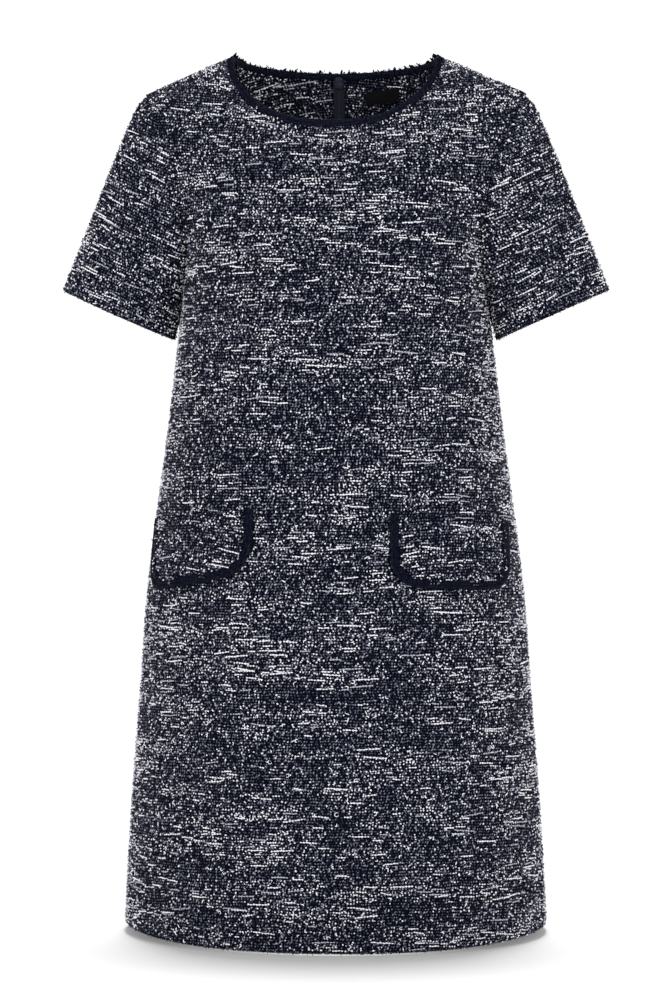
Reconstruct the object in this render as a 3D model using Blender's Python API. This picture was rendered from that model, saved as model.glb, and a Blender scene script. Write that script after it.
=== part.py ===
"""Short-sleeved sheath dress of boucle tweed, filled out as it hangs on a figure.

Sizes are in millimetres and become metres where each mesh is made. The front faces -Y and +Z is up. Left and right
are the wearer's, so the left side is at +X. The origin is midway between the two neck points, level with them.
"""
from collections import namedtuple
from math import cos, pi, radians, sin, sqrt

import bmesh
import bpy
from mathutils import Matrix, Vector

MM = 0.001

# Cloth and seams
WALL = 2.2
SEAM_GAP = 0.3
BINDING_WALL = 1.0
BINDING_DEPTH = 5.2
BINDING_GAP = 0.45
SHARP_ANGLE = radians(50)

# Body below the armholes: depths are from the side seams' plane to the centre front and the centre back
Girth = namedtuple("Girth", "half_width front back")
HEM_LEVEL = -855.0
UNDERARM_LEVEL = -215.0
GIRTHS_UP_FROM_HEM = (
    Girth(207.5, 151.0, 146.0),
    Girth(203.3, 148.0, 142.0),
    Girth(197.7, 144.5, 137.5),
    Girth(191.0, 141.0, 132.5),
    Girth(185.4, 137.5, 126.0),
    Girth(175.8, 134.5, 117.0),
    Girth(164.7, 128.5, 107.5),
    Girth(155.3, 122.0, 103.0),
    Girth(147.5, 117.0, 104.0),
)
FULLNESS, FULL_LEVEL = 0.09, -480.0
HEM_RISE, HEM_RISE_ROWS = 6.5, 4
LOWER_ROWS = 12
UPPER_ROWS = 10
COLUMNS = 14

# Neck and shoulders
NECK_HALF_WIDTH = 99.3
NECK_FRONT_DEPTH, NECK_FRONT_DROP = 76.0, 71.5
NECK_BACK_DEPTH, NECK_BACK_DROP = 63.0, 14.5
NECK_COLUMNS = 7
SHOULDER_TIP = Vector((186.0, 0.0, -38.0))

# Armholes, from the underarm to the shoulder tip
Station = namedtuple("Station", "across depth level")
ARMHOLE_FRONT = (
    Station(147.5, 0.0, -215.0),
    Station(145.0, -27.0, -208.0),
    Station(143.0, -45.0, -185.0),
    Station(148.0, -52.0, -145.0),
    Station(155.0, -49.0, -106.0),
    Station(168.0, -37.0, -74.0),
    Station(181.0, -18.0, -47.0),
    Station(186.0, 0.0, -38.0),
)
ARMHOLE_BACK = (
    Station(147.5, 0.0, -215.0),
    Station(146.0, 26.0, -209.0),
    Station(147.0, 46.0, -188.0),
    Station(155.0, 60.0, -150.0),
    Station(162.0, 61.0, -112.0),
    Station(171.0, 46.0, -78.0),
    Station(181.0, 22.0, -50.0),
    Station(186.0, 0.0, -38.0),
)
ARMHOLE_CENTRE = Vector((150.0, 0.0, -130.0))

# How the bodice runs up to its top edge at columns from the centre; on the front the shoulder seam lies toward +Y
BODICE_LEAVING = 165.0
RISE_STEP = 20.0
FIRST_FAIRED_ROW, FAIRING_PASSES = LOWER_ROWS - 1, 200
Arrival = namedtuple("Arrival", "column heading")
ARRIVALS = (
    Arrival(0, Vector((0, 60, 100))),
    Arrival(3, Vector((-80, 72, 82))),
    Arrival(6, Vector((-95, 100, 52))),
    Arrival(7, Vector((-80, 190, 38))),
    Arrival(14, Vector((0, 200, 20))),
)

# Sleeves: the hem is an ellipse square to a sleeve that leans out from the body
SLEEVE_LEAN = radians(24)
SLEEVE_HEM_CENTRE = Vector((211.5, -6.0, -251.5))
SLEEVE_HEM_HALF_WIDTH, SLEEVE_HEM_HALF_DEPTH = 60.0, 45.0
SLEEVE_ROWS = 8
SLEEVE_CAP_LIFT = 0.45
SLEEVE_LEAVING, SLEEVE_ARRIVING = 0.25, 0.93

# Pocket flaps: arcs run from the centre front round the hip to the flap's inner and outer edge, at its top and bottom
FlapCut = namedtuple("FlapCut", "side top_level height top_arcs bottom_arcs top_droop bottom_droop corner")
FLAPS = {
    "left": FlapCut(1, -441.0, 67.0, (60.5, 201.0), (59.0, 188.0), 11.0, 7.0, 26.0),
    "right": FlapCut(-1, -437.0, 59.0, (74.5, 213.0), (74.5, 200.0), 14.0, 25.0, 25.0),
}
FLAP_HIP_LEVEL = -480.0
FLAP_CORNER_TURNS = (0.0, radians(22.5), radians(45), radians(67.5), radians(90))
FLAP_SIDE_SHARES = (0.0, 0.34, 0.67)
FLAP_WALL = 1.8
FLAP_BINDING_WALL = 0.8
FLAP_BINDING_DEPTH = 6.0
FLAP_SEAT, FLAP_STAND_OFF, FLAP_LIFT_CURVE = 0.6, 1.6, 1.3
FLAP_COLUMNS = 10

# Concealed zip down the centre back
ZIP_ROWS_BELOW_UNDERARM = 6
ZIP_MOUTH_HALF_GAP = 0.95
ZIP_MOUTH_LENGTH = 18.0
TAPE_WIDTH, TAPE_WALL = 4.4, 0.7
COIL_WIDTH, COIL_WALL = 3.0, 1.5
SLIDER_WIDTH, SLIDER_HEIGHT, SLIDER_THICKNESS = 8.0, 11.0, 4.0
SLIDER_TOP_BELOW_EDGE = 1.5
SLIDER_BEVEL = 1.2
SLIDER_PLATE_WALL, SLIDER_PLATE_ROOT = 0.9, 1.0
ROUND_STEPS = 20
PULL_EYE_RADIUS, PULL_EYE_RIM = 1.3, 1.0
PULL_BAR = 1.2
PULL_WINDOW_WIDTH, PULL_WINDOW_LENGTH = 2.2, 2.5
PULL_WIDTH, PULL_LENGTH = 6.0, 20.0
PULL_TIP_STEPS = 8
PULL_STAND_OFF = 3.1

# Label inside the back neck, placed by the half back's columns and rows
LABEL_COLUMNS = (1.15, 2.0, 2.7)
LABEL_ROWS = (LOWER_ROWS + 8.0, LOWER_ROWS + 8.85)
LABEL_WALL = 0.5

# Rows of outer points and of outward normals, from the hem up, each from the centre out
HalfPanel = namedtuple("HalfPanel", "points normals")


def catmull(before, start, end, after, part):
    """Smooth curve from start to end that heads the way its neighbours do; takes numbers or vectors."""
    square, cube = part * part, part ** 3
    return (
        before * (-0.5 * part + square - 0.5 * cube)
        + start * (1 - 2.5 * square + 1.5 * cube)
        + end * (0.5 * part + 2 * square - 1.5 * cube)
        + after * (-0.5 * square + 0.5 * cube)
    )


def hermite(start, leaving, end, arriving, part):
    """Smooth curve from start to end that leaves and arrives with the given directions."""
    square, cube = part * part, part ** 3
    return (
        start * (1 - 3 * square + 2 * cube)
        + leaving * (part - 2 * square + cube)
        + end * (3 * square - 2 * cube)
        + arriving * (cube - square)
    )


def even_points(stations, count):
    """Count + 1 points, evenly spaced along a smooth curve through the stations."""
    points = [Vector(station) for station in stations]
    ends = [points[0] * 2 - points[1]] + points + [points[-1] * 2 - points[-2]]
    steps = 20
    fine = [catmull(*ends[i:i + 4], step / steps) for i in range(len(points) - 1) for step in range(steps)]
    fine.append(points[-1])
    lengths = [0.0]
    for here, there in zip(fine, fine[1:]):
        lengths.append(lengths[-1] + (there - here).length)
    result = []
    for step in range(count + 1):
        wanted = lengths[-1] * step / count
        after = next((i for i, length in enumerate(lengths) if length >= wanted and i > 0), len(fine) - 1)
        share = (wanted - lengths[after - 1]) / (lengths[after] - lengths[after - 1])
        result.append(fine[after - 1].lerp(fine[after], share))
    return result


def girth_at(level):
    """Half width and depths of the body at a level, on a smooth curve through the table's rows."""
    spans = len(GIRTHS_UP_FROM_HEM) - 1
    place = (level - HEM_LEVEL) / (UNDERARM_LEVEL - HEM_LEVEL) * spans
    low = min(max(int(place), 0), spans - 1)
    rows = [GIRTHS_UP_FROM_HEM[min(max(i, 0), spans)] for i in range(low - 1, low + 3)]
    return Girth(*(catmull(*sizes, place - low) for sizes in zip(*rows)))


def on_body(angle, level, back):
    """Outer surface below the armholes; the angle runs from the centre, 0, to the side seam, a quarter turn.

    Each level is an ellipse at the hem and a fuller oval from the hip up.
    """
    size = girth_at(level)
    fullness = FULLNESS * min(max((level - HEM_LEVEL) / (FULL_LEVEL - HEM_LEVEL), 0.0), 1.0)
    x = size.half_width * sin(angle) * (1 + fullness * cos(angle) ** 2)
    y = (size.back if back else size.front) * cos(angle) * (1 + fullness * sin(angle) ** 2)
    return Vector((x, y if back else -y, level))


def neck_edge(part, back):
    """Neckline from the centre, 0, to the neck point, 1; it is level where it crosses the shoulder."""
    turn = cos(part * pi / 2)
    depth, drop = (NECK_BACK_DEPTH, NECK_BACK_DROP) if back else (-NECK_FRONT_DEPTH, NECK_FRONT_DROP)
    return Vector((NECK_HALF_WIDTH * sqrt(1 - turn ** 3), depth * turn, -drop * turn ** 1.5))


def top_edge(across, back):
    """Neckline and then shoulder seam, from the centre, 0, to the shoulder tip, 1."""
    neck_share = NECK_COLUMNS / COLUMNS
    if across <= neck_share:
        return neck_edge(across / neck_share, back)
    return neck_edge(1.0, back).lerp(SHOULDER_TIP, (across - neck_share) / (1 - neck_share))


ARMHOLES = {False: even_points(ARMHOLE_FRONT, UPPER_ROWS), True: even_points(ARMHOLE_BACK, UPPER_ROWS)}


def armhole_at(part, back):
    """Armhole from the underarm, 0, to the shoulder tip, 1."""
    points = ARMHOLES[back]
    low = min(int(part * UPPER_ROWS), UPPER_ROWS - 1)
    return points[low].lerp(points[low + 1], part * UPPER_ROWS - low)


def arrival_at(share, back):
    """Heading of the bodice where a share of the way across reaches its top edge."""
    column = share * COLUMNS
    after = next(i for i, arrival in enumerate(ARRIVALS) if i > 0 and arrival.column >= column - 1e-9)
    low, high = ARRIVALS[after - 1], ARRIVALS[after]
    heading = low.heading.lerp(high.heading, (column - low.column) / (high.column - low.column))
    return Vector((heading.x, -heading.y if back else heading.y, heading.z))


def on_bodice(across, part, back):
    """Outer surface from the underarm level, part 0, to the neckline and shoulder seam, part 1."""

    def column(share):
        start = on_body(share * pi / 2, UNDERARM_LEVEL, back)
        rise = (start - on_body(share * pi / 2, UNDERARM_LEVEL - RISE_STEP, back)) / RISE_STEP
        return hermite(start, rise * BODICE_LEAVING, top_edge(share, back), arrival_at(share, back), part)

    pull_to_armhole = armhole_at(part, back) - column(1.0)
    return column(across) + pull_to_armhole * across ** 2


def faired(points):
    """Relaxes the bodice rows until they bend as little as the panel's edges and the rows below them allow.

    Past the centre and past the shoulder seam the cloth goes on as its own mirror image. Past a free edge it runs
    on straight.
    """
    top = len(points) - 1

    def at(row, column):
        if column < 0:
            point = at(row, -column)
            return Vector((-point.x, point.y, point.z))
        if column > COLUMNS:
            return points[row][COLUMNS] * 2 - points[row][2 * COLUMNS - column]
        if row > top:
            point = points[2 * top - row][column]
            if column >= NECK_COLUMNS:
                return Vector((point.x, -point.y, point.z))
            return points[top][column] * 2 - point
        return points[row][column]

    for _ in range(FAIRING_PASSES):
        for r in range(FIRST_FAIRED_ROW, top):
            for c in range(COLUMNS):
                sides = at(r + 1, c) + at(r - 1, c) + at(r, c + 1) + at(r, c - 1)
                corners = at(r + 1, c + 1) + at(r + 1, c - 1) + at(r - 1, c + 1) + at(r - 1, c - 1)
                far = at(r + 2, c) + at(r - 2, c) + at(r, c + 2) + at(r, c - 2)
                points[r][c] = (sides * 8 - corners * 2 - far) / 20
    return points


def half_panel(back):
    """Outer points and outward normals of half a body panel: rows from the hem up, columns from centre to side.

    The last row but one is the line the neck binding reaches down to.
    """
    span = UNDERARM_LEVEL - HEM_LEVEL
    shares = [column / COLUMNS for column in range(COLUMNS + 1)]
    points = []
    for row in range(LOWER_ROWS + 1):
        rise = HEM_RISE * max(1 - row / HEM_RISE_ROWS, 0.0)
        levels = [HEM_LEVEL + span * row / LOWER_ROWS + rise * sin(share * pi / 2) ** 4 for share in shares]
        points.append([on_body(share * pi / 2, level, back) for share, level in zip(shares, levels)])
    for row in range(1, UPPER_ROWS + 1):
        points.append([on_bodice(share, row / UPPER_ROWS, back) for share in shares])
    points = faired(points)

    normals = grid_normals(points, -1.0 if back else 1.0)
    seam_line = SHOULDER_TIP - neck_edge(1.0, back)
    shoulder_normal = Vector((-seam_line.z, 0, seam_line.x)).normalized()
    for row, line in enumerate(normals):
        line[0] = Vector((0, line[0].y, line[0].z)).normalized()
        if row < LOWER_ROWS:
            line[COLUMNS] = Vector((line[COLUMNS].x, 0, line[COLUMNS].z)).normalized()
        else:
            line[COLUMNS] = (points[row][COLUMNS] - ARMHOLE_CENTRE).normalized()
    for column in range(NECK_COLUMNS, COLUMNS + 1):
        normals[-1][column] = shoulder_normal

    part_seams(points, back)
    depths = [BINDING_DEPTH / (edge - lower).length for edge, lower in zip(points[-1], points[-2])]
    for table in (points, normals):
        table.insert(-1, [edge.lerp(lower, depth) for edge, lower, depth in zip(table[-1], table[-2], depths)])
    return HalfPanel(points, normals)


def part_seams(points, back):
    """Draws a half panel back from its side seam, armhole and shoulder seam by half the seam gap."""
    half_gap = SEAM_GAP / 2 if back else -SEAM_GAP / 2
    for row in points[:LOWER_ROWS + 1]:
        row[COLUMNS].y += half_gap
    for column in range(NECK_COLUMNS, COLUMNS + 1):
        points[-1][column].y += half_gap
    for row, away in zip(points[LOWER_ROWS:], armhole_sides(back)):
        row[COLUMNS] -= away * SEAM_GAP / 2


def armhole_sides(back):
    """At each armhole point, the direction across the seam from the body to the sleeve."""
    loop = ARMHOLES[back]
    result = []
    for i, point in enumerate(loop):
        along = loop[min(i + 1, UPPER_ROWS)] - loop[max(i - 1, 0)]
        if i in (0, UPPER_ROWS):
            along = Vector((0, 1 if (i == 0) == back else -1, 0))
        across = along.cross(point - ARMHOLE_CENTRE).normalized()
        result.append(across if across.x > 0 else -across)
    return result


def grid_normals(points, sign):
    """Unit normals of a grid of points, from each point's neighbours."""
    last_row, last_column = len(points) - 1, len(points[0]) - 1
    normals = []
    for r, row in enumerate(points):
        above, below = points[min(r + 1, last_row)], points[max(r - 1, 0)]
        normals.append([
            (row[min(c + 1, last_column)] - row[max(c - 1, 0)]).cross(above[c] - below[c]).normalized() * sign
            for c in range(last_column + 1)
        ])
    return normals


FRONT, BACK = half_panel(back=False), half_panel(back=True)


def mirrored(grid):
    """The same grid on the other side of the centre."""
    return [[Vector((-v.x, v.y, v.z)) for v in row] for row in grid]


def laid_grid(points):
    """A bmesh grid with its corners laid on a table of points."""
    bm = bmesh.new()
    bmesh.ops.create_grid(bm, x_segments=len(points[0]) - 1, y_segments=len(points) - 1, size=0.5)
    bm.verts.ensure_lookup_table()
    for vert, point in zip(bm.verts, (point for row in points for point in row)):
        vert.co = point * MM
    return bm


def plain_material(name, colour, roughness):
    material = bpy.data.materials.new(name)
    material.use_nodes = True
    shader = material.node_tree.nodes["Principled BSDF"]
    shader.inputs["Base Color"].default_value = (*colour, 1.0)
    shader.inputs["Roughness"].default_value = roughness
    material.diffuse_color = (*colour, 1.0)
    return material


def keep(name, bm, material, smooth=True):
    """Turns a bmesh into a named object with its faces pointing out; warped quads split on their short diagonal."""
    bmesh.ops.triangulate(bm, faces=bm.faces, quad_method="SHORT_EDGE")
    bmesh.ops.recalc_face_normals(bm, faces=bm.faces)
    mesh = bpy.data.meshes.new(name)
    bm.to_mesh(mesh)
    bm.free()
    mesh.materials.append(material)
    if smooth:
        mesh.shade_smooth()
        mesh.set_sharp_from_angle(angle=SHARP_ANGLE)
    thing = bpy.data.objects.new(name, mesh)
    bpy.context.collection.objects.link(thing)
    return thing


def wall_between(name, outer, inner, material, tube=False):
    """A closed wall whose two faces are laid on two tables of points; a tube's first and last columns are one."""
    bm = laid_grid(outer)
    place = bm.verts.layers.int.new("place")
    for index, vert in enumerate(bm.verts):
        vert[place] = index
    if tube:
        bmesh.ops.remove_doubles(bm, verts=bm.verts, dist=1e-7)
    grown = bmesh.ops.extrude_face_region(bm, geom=bm.faces[:], use_keep_orig=True)
    inner_points = [point for row in inner for point in row]
    for part in grown["geom"]:
        if isinstance(part, bmesh.types.BMVert):
            part.co = inner_points[part[place]] * MM
    return keep(name, bm, material)


def swept_band(name, sections, material):
    """A solid swept through a row of closed sections, each a list of points, and capped at both ends."""
    bm = laid_grid([section + section[:1] for section in sections])
    bmesh.ops.remove_doubles(bm, verts=bm.verts, dist=1e-7)
    bmesh.ops.holes_fill(bm, edges=[edge for edge in bm.edges if edge.is_boundary])
    return keep(name, bm, material)


def channel(depth, gap, wall, cloth_wall):
    """Section of a folded binding over a cloth edge, as (beyond the edge, above the cloth's outer face) pairs."""
    under = -cloth_wall - gap
    return (
        (-depth, gap), (gap, gap), (gap, under), (-depth, under),
        (-depth, under - wall), (gap + wall, under - wall), (gap + wall, gap + wall), (-depth, gap + wall),
    )


def zip_mouth_half_gap(level):
    """Half the gap at the centre back, which the slider holds open at the top."""
    top = -NECK_BACK_DROP - SLIDER_HEIGHT - 2 * SLIDER_TOP_BELOW_EDGE
    share = min(max((level - top) / ZIP_MOUTH_LENGTH + 1, 0.0), 1.0)
    return SEAM_GAP / 2 + (ZIP_MOUTH_HALF_GAP - SEAM_GAP / 2) * share


def inside(points, normals, depth):
    """The points moved in by a depth."""
    return [[p - n * depth for p, n in zip(*rows)] for rows in zip(points, normals)]


def front_panel(cloth):
    points, normals = FRONT
    whole = [list(reversed(m[1:])) + h for m, h in zip(mirrored(points), points)]
    whole_normals = [list(reversed(m[1:])) + h for m, h in zip(mirrored(normals), normals)]
    wall_between("front", whole, inside(whole, whole_normals, WALL), cloth)


def back_panels(cloth):
    centre = [Vector((zip_mouth_half_gap(row[0].z), row[0].y, row[0].z)) for row in BACK.points]
    points = [[first] + row[1:] for first, row in zip(centre, BACK.points)]
    inner = inside(points, BACK.normals, WALL)
    wall_between("back_left", points, inner, cloth)
    wall_between("back_right", mirrored(points), mirrored(inner), cloth)


def sleeves(cloth):
    """Each sleeve is one tube, from the armhole to its hem, its columns running forward from the underarm seam."""
    axis = Vector((sin(SLEEVE_LEAN), 0, -cos(SLEEVE_LEAN)))
    out = Vector((cos(SLEEVE_LEAN), 0, sin(SLEEVE_LEAN)))
    loop = ARMHOLES[False] + ARMHOLES[True][-2::-1]
    sides = armhole_sides(False) + armhole_sides(True)[-2::-1]
    radials = [(point - ARMHOLE_CENTRE).normalized() for point in loop]
    columns = []
    for i, (start, side, radial) in enumerate(zip(loop, sides, radials)):
        turn = pi * i / UPPER_ROWS
        end = SLEEVE_HEM_CENTRE - out * SLEEVE_HEM_HALF_WIDTH * cos(turn)
        end.y -= SLEEVE_HEM_HALF_DEPTH * sin(turn)
        length = (end - start).length
        leaving = (axis + radial * SLEEVE_CAP_LIFT).normalized() * length * SLEEVE_LEAVING
        arriving = (end - start) * SLEEVE_ARRIVING
        begin = start + side * SEAM_GAP
        shares = [row / SLEEVE_ROWS for row in range(SLEEVE_ROWS + 1)]
        columns.append([hermite(begin, leaving, end, arriving, share) for share in shares])
    rows = [list(row) for row in zip(*columns)]
    ringed = [[row[-2]] + row + [row[1]] for row in rows]
    normals = [line[1:-1] for line in grid_normals(ringed, -1.0)]
    normals[0] = radials
    inner = inside(rows, normals, WALL)
    wall_between("sleeve_left", rows, inner, cloth, tube=True)
    wall_between("sleeve_right", mirrored(rows), mirrored(inner), cloth, tube=True)


def neck_binding(cloth):
    """A folded band over the neckline, open at the zip, its two faces laid along the panels' own facets."""
    halves = []
    for points, normals in (BACK, FRONT):
        halves.append(list(zip(points[-1], normals[-1], points[-2], normals[-2]))[:NECK_COLUMNS + 1])
    neck_point, shoulder_normal = neck_edge(1.0, True), halves[0][-1][1]
    along_seam = (SHOULDER_TIP - neck_point).normalized()
    seam = (neck_point, shoulder_normal, neck_point + along_seam * BINDING_DEPTH, shoulder_normal)
    edge, normal, inward, inward_normal = halves[0][0]
    to_mouth = Vector((ZIP_MOUTH_HALF_GAP, 0, 0))
    halves[0][0] = (edge + to_mouth, normal, inward + to_mouth, inward_normal)
    rows = halves[0] + [seam] + halves[1][::-1]
    rows += [mirrored([row])[0] for row in rows[-2::-1]]
    sections = []
    for i, (edge, normal, inward, inward_normal) in enumerate(rows):
        along = rows[min(i + 1, len(rows) - 1)][0] - rows[max(i - 1, 0)][0]
        beyond = along.cross(normal).normalized()
        if (edge - Vector((edge.x, neck_point.y, neck_point.z))).length < SEAM_GAP:
            beyond = Vector((-along_seam.x if edge.x > 0 else along_seam.x, 0, -along_seam.z))
        section = []
        for past, above in channel(BINDING_DEPTH, BINDING_GAP, BINDING_WALL, WALL):
            if past < 0:
                section.append(inward + inward_normal * above)
            else:
                section.append(edge + beyond * past + normal * above)
        sections.append(section)
    swept_band("neck_binding", sections, cloth)


def hip_angle(arc):
    """Angle on the front at the flaps' level, for an arc length from the centre front."""
    step = radians(0.25)
    angle, length = 0.0, 0.0
    here = on_body(0.0, FLAP_HIP_LEVEL, False)
    while length < arc:
        angle += step
        there = on_body(angle, FLAP_HIP_LEVEL, False)
        length += (there - here).length
        here = there
    return angle - step * (length - arc) / (there - on_body(angle - step, FLAP_HIP_LEVEL, False)).length


def on_flap(flap, across, down, lift):
    """Point over the hip for a distance across a flap from its inner edge, a distance down it and a lift off it."""
    share = across / flap_width(flap)
    down_share = down / flap.height
    droop = flap.top_droop + (flap.bottom_droop - flap.top_droop) * down_share
    level = flap.top_level - down - droop * share
    inner, outer = [top + (bottom - top) * down_share for top, bottom in zip(flap.top_arcs, flap.bottom_arcs)]
    angle = hip_angle(inner + (outer - inner) * share)
    turn, rise = radians(0.5), 1.0
    here = on_body(angle, level, False)
    along = on_body(angle + turn, level, False) - on_body(angle - turn, level, False)
    rising = on_body(angle, level + rise, False) - on_body(angle, level - rise, False)
    stand_off = FLAP_SEAT + FLAP_STAND_OFF * max(down_share, 0.0) ** FLAP_LIFT_CURVE
    point = here + along.cross(rising).normalized() * (stand_off + lift)
    point.x *= flap.side
    return point


def flap_width(flap):
    """Width of a flap along its top."""
    return flap.top_arcs[1] - flap.top_arcs[0]


def flap_side(flap):
    """One side of a flap from its top: (distance down, distance drawn in, turn) rows, then those of its corner."""
    low = flap.height - flap.corner
    side = [(low * share, 0.0, 0.0) for share in FLAP_SIDE_SHARES]
    for turn in FLAP_CORNER_TURNS:
        side.append((low + flap.corner * sin(turn), flap.corner * (1 - cos(turn)), turn))
    return side


def flap_outline(flap):
    """Edge of a flap without its top, as (across, down, way out across, way out down), from the inner top corner."""
    width = flap_width(flap)
    outline = [(drawn_in, down, -cos(turn), sin(turn)) for down, drawn_in, turn in flap_side(flap)]
    for i in range(1, FLAP_COLUMNS):
        outline.append((flap.corner + (width - 2 * flap.corner) * i / FLAP_COLUMNS, flap.height, 0.0, 1.0))
    outline += [(width - drawn_in, down, cos(turn), sin(turn)) for down, drawn_in, turn in reversed(flap_side(flap))]
    return outline


def pocket_flap(name, cloth, trim):
    """A flap and the binding round its two sides and its bottom."""
    flap = FLAPS[name]
    under_face = FLAP_BINDING_WALL + SEAM_GAP
    outer_face = under_face + FLAP_WALL
    outer, inner = [], []
    for down, drawn_in, _ in flap_side(flap):
        width = flap_width(flap) - 2 * drawn_in
        places = [drawn_in + width * i / FLAP_COLUMNS for i in range(FLAP_COLUMNS + 1)]
        outer.append([on_flap(flap, across, down, outer_face) for across in places])
        inner.append([on_flap(flap, across, down, under_face) for across in places])
    wall_between(f"flap_{name}", outer, inner, cloth)

    profile = channel(FLAP_BINDING_DEPTH, SEAM_GAP, FLAP_BINDING_WALL, FLAP_WALL)
    sections = []
    for across, down, way_across, way_down in flap_outline(flap):
        sections.append([
            on_flap(flap, across + past * way_across, down + past * way_down, outer_face + above)
            for past, above in profile
        ])
    swept_band(f"flap_binding_{name}", sections, trim)


def centre_back(rows):
    """Centre back line, from the neck edge down a number of rows, as (point, outward normal) pairs."""
    line = [(row[0], facing[0]) for row, facing in zip(*BACK)]
    return line[-1:] + line[-3:-3 - rows:-1]


def strip(name, line, left, right, outer_depth, inner_depth, material):
    """A flat strip inside the centre back, between two distances across and two depths below the outer face."""
    sections = []
    for point, normal in line:
        near, far = point - normal * outer_depth, point - normal * inner_depth
        sections.append([
            Vector((left, near.y, near.z)), Vector((right, near.y, near.z)),
            Vector((right, far.y, far.z)), Vector((left, far.y, far.z)),
        ])
    return swept_band(name, sections, material)


def box(bm, size, centre):
    """Adds a box of three sizes at a centre, in millimetres."""
    shape = Matrix.Translation(centre * MM) @ Matrix.Diagonal((*(Vector(size) * MM), 1.0))
    return bmesh.ops.create_cube(bm, size=1.0, matrix=shape)


def combine(target, guide, operation):
    """Joins a guide shape to an object, or cuts it out."""
    guide.hide_render = True
    guide.display_type = "WIRE"
    modifier = target.modifiers.new(operation.lower(), "BOOLEAN")
    modifier.object = guide
    modifier.operation = operation


def slider_frame():
    """Centre back at the slider: a place on the outer face, with local Y out of the cloth and local Z up it."""
    (top, _), (lower, _) = centre_back(1)
    up = (top - lower).normalized()
    out = Vector((1, 0, 0)).cross(-up).normalized()
    middle = top - up * (SLIDER_TOP_BELOW_EDGE + SLIDER_HEIGHT / 2)
    turned = Matrix((Vector((1, 0, 0)), out, up)).transposed().to_4x4()
    return Matrix.Translation(middle * MM) @ turned


def zip_tapes_and_coil(tape, coil):
    """Two tapes either side of the mouth, and the closed coil over them from the slider down."""
    line = centre_back(UPPER_ROWS + ZIP_ROWS_BELOW_UNDERARM)
    (top, normal), (second, _) = line[:2]
    down = (second - top).normalized()
    below_binding = [(top + down * (BINDING_DEPTH + SEAM_GAP), normal)] + line[1:]
    below_slider = [(top + down * (SLIDER_TOP_BELOW_EDGE + SLIDER_HEIGHT + SEAM_GAP), normal)] + line[1:]
    tape_face = WALL + SEAM_GAP
    tape_back = tape_face + TAPE_WALL
    coil_face = tape_back + SEAM_GAP
    near, far = ZIP_MOUTH_HALF_GAP, ZIP_MOUTH_HALF_GAP + TAPE_WIDTH
    strip("zip_tape_left", below_binding, near, far, tape_face, tape_back, tape)
    strip("zip_tape_right", below_binding, -far, -near, tape_face, tape_back, tape)
    strip("zip_coil", below_slider, -COIL_WIDTH / 2, COIL_WIDTH / 2, coil_face, coil_face + COIL_WALL, coil)


def round_bar(name, radius, length, place, material):
    """A guide cylinder lying across the zip."""
    bm = bmesh.new()
    bmesh.ops.create_cone(
        bm, cap_ends=True, segments=ROUND_STEPS, radius1=radius * MM, radius2=radius * MM, depth=length * MM,
        matrix=place @ Matrix.Rotation(pi / 2, 4, "Y"))
    return keep(name, bm, material, smooth=False)


def zip_slider(metal):
    """Slider inside the neck edge, and the upright plate with an eye that reaches out past the edge for the pull."""
    frame = slider_frame()
    face = WALL + BINDING_GAP + BINDING_WALL + SEAM_GAP
    body = bmesh.new()
    box(body, (SLIDER_WIDTH, SLIDER_THICKNESS, SLIDER_HEIGHT), Vector((0, -face - SLIDER_THICKNESS / 2, 0)))
    bmesh.ops.bevel(body, geom=body.edges[:], offset=SLIDER_BEVEL * MM, segments=2, affect="EDGES")
    slider = keep("zip_slider", body, metal)
    slider.matrix_world = frame

    rim = PULL_EYE_RADIUS + PULL_EYE_RIM
    reach = PULL_STAND_OFF + face + SLIDER_PLATE_ROOT
    eye_place = Matrix.Translation(Vector((0, PULL_STAND_OFF, 0)) * MM)
    plate = bmesh.new()
    box(plate, (SLIDER_PLATE_WALL, reach, 2 * rim), Vector((0, PULL_STAND_OFF - reach / 2, 0)))
    guides = (
        (keep("slider_plate", plate, metal, smooth=False), "UNION"),
        (round_bar("slider_plate_end", rim, SLIDER_PLATE_WALL, eye_place, metal), "UNION"),
        (round_bar("slider_eye", PULL_EYE_RADIUS, 4 * SLIDER_PLATE_WALL, eye_place, metal), "DIFFERENCE"),
    )
    for guide, operation in guides:
        guide.matrix_world = frame
        combine(slider, guide, operation)


def zip_pull(metal):
    """Pull tab with a bar through the slider's eye; it hangs outside the centre back and its own origin is the bar."""
    half_bar = PULL_BAR / 2
    tip_radius = PULL_WIDTH / 2
    straight = PULL_LENGTH - tip_radius
    outline = [(-PULL_WIDTH / 3, half_bar), (PULL_WIDTH / 3, half_bar)]
    for i in range(PULL_TIP_STEPS + 1):
        turn = pi * i / PULL_TIP_STEPS
        outline.append((tip_radius * cos(turn), -straight - tip_radius * sin(turn)))
    bm = bmesh.new()
    face = bm.faces.new([bm.verts.new(Vector((x, -half_bar, z)) * MM) for x, z in outline])
    grown = bmesh.ops.extrude_face_region(bm, geom=[face], use_keep_orig=True)
    front_corners = [part for part in grown["geom"] if isinstance(part, bmesh.types.BMVert)]
    bmesh.ops.translate(bm, vec=Vector((0, PULL_BAR, 0)) * MM, verts=front_corners)
    tab = keep("zip_pull", bm, metal)
    tab.matrix_world = slider_frame() @ Matrix.Translation(Vector((0, PULL_STAND_OFF, 0)) * MM)

    window = bmesh.new()
    window_middle = Vector((0, 0, -half_bar - PULL_WINDOW_LENGTH / 2))
    box(window, (PULL_WINDOW_WIDTH, 4 * PULL_BAR, PULL_WINDOW_LENGTH), window_middle)
    guide = keep("pull_window", window, metal, smooth=False)
    guide.matrix_world = tab.matrix_world
    combine(tab, guide, "DIFFERENCE")


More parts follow.
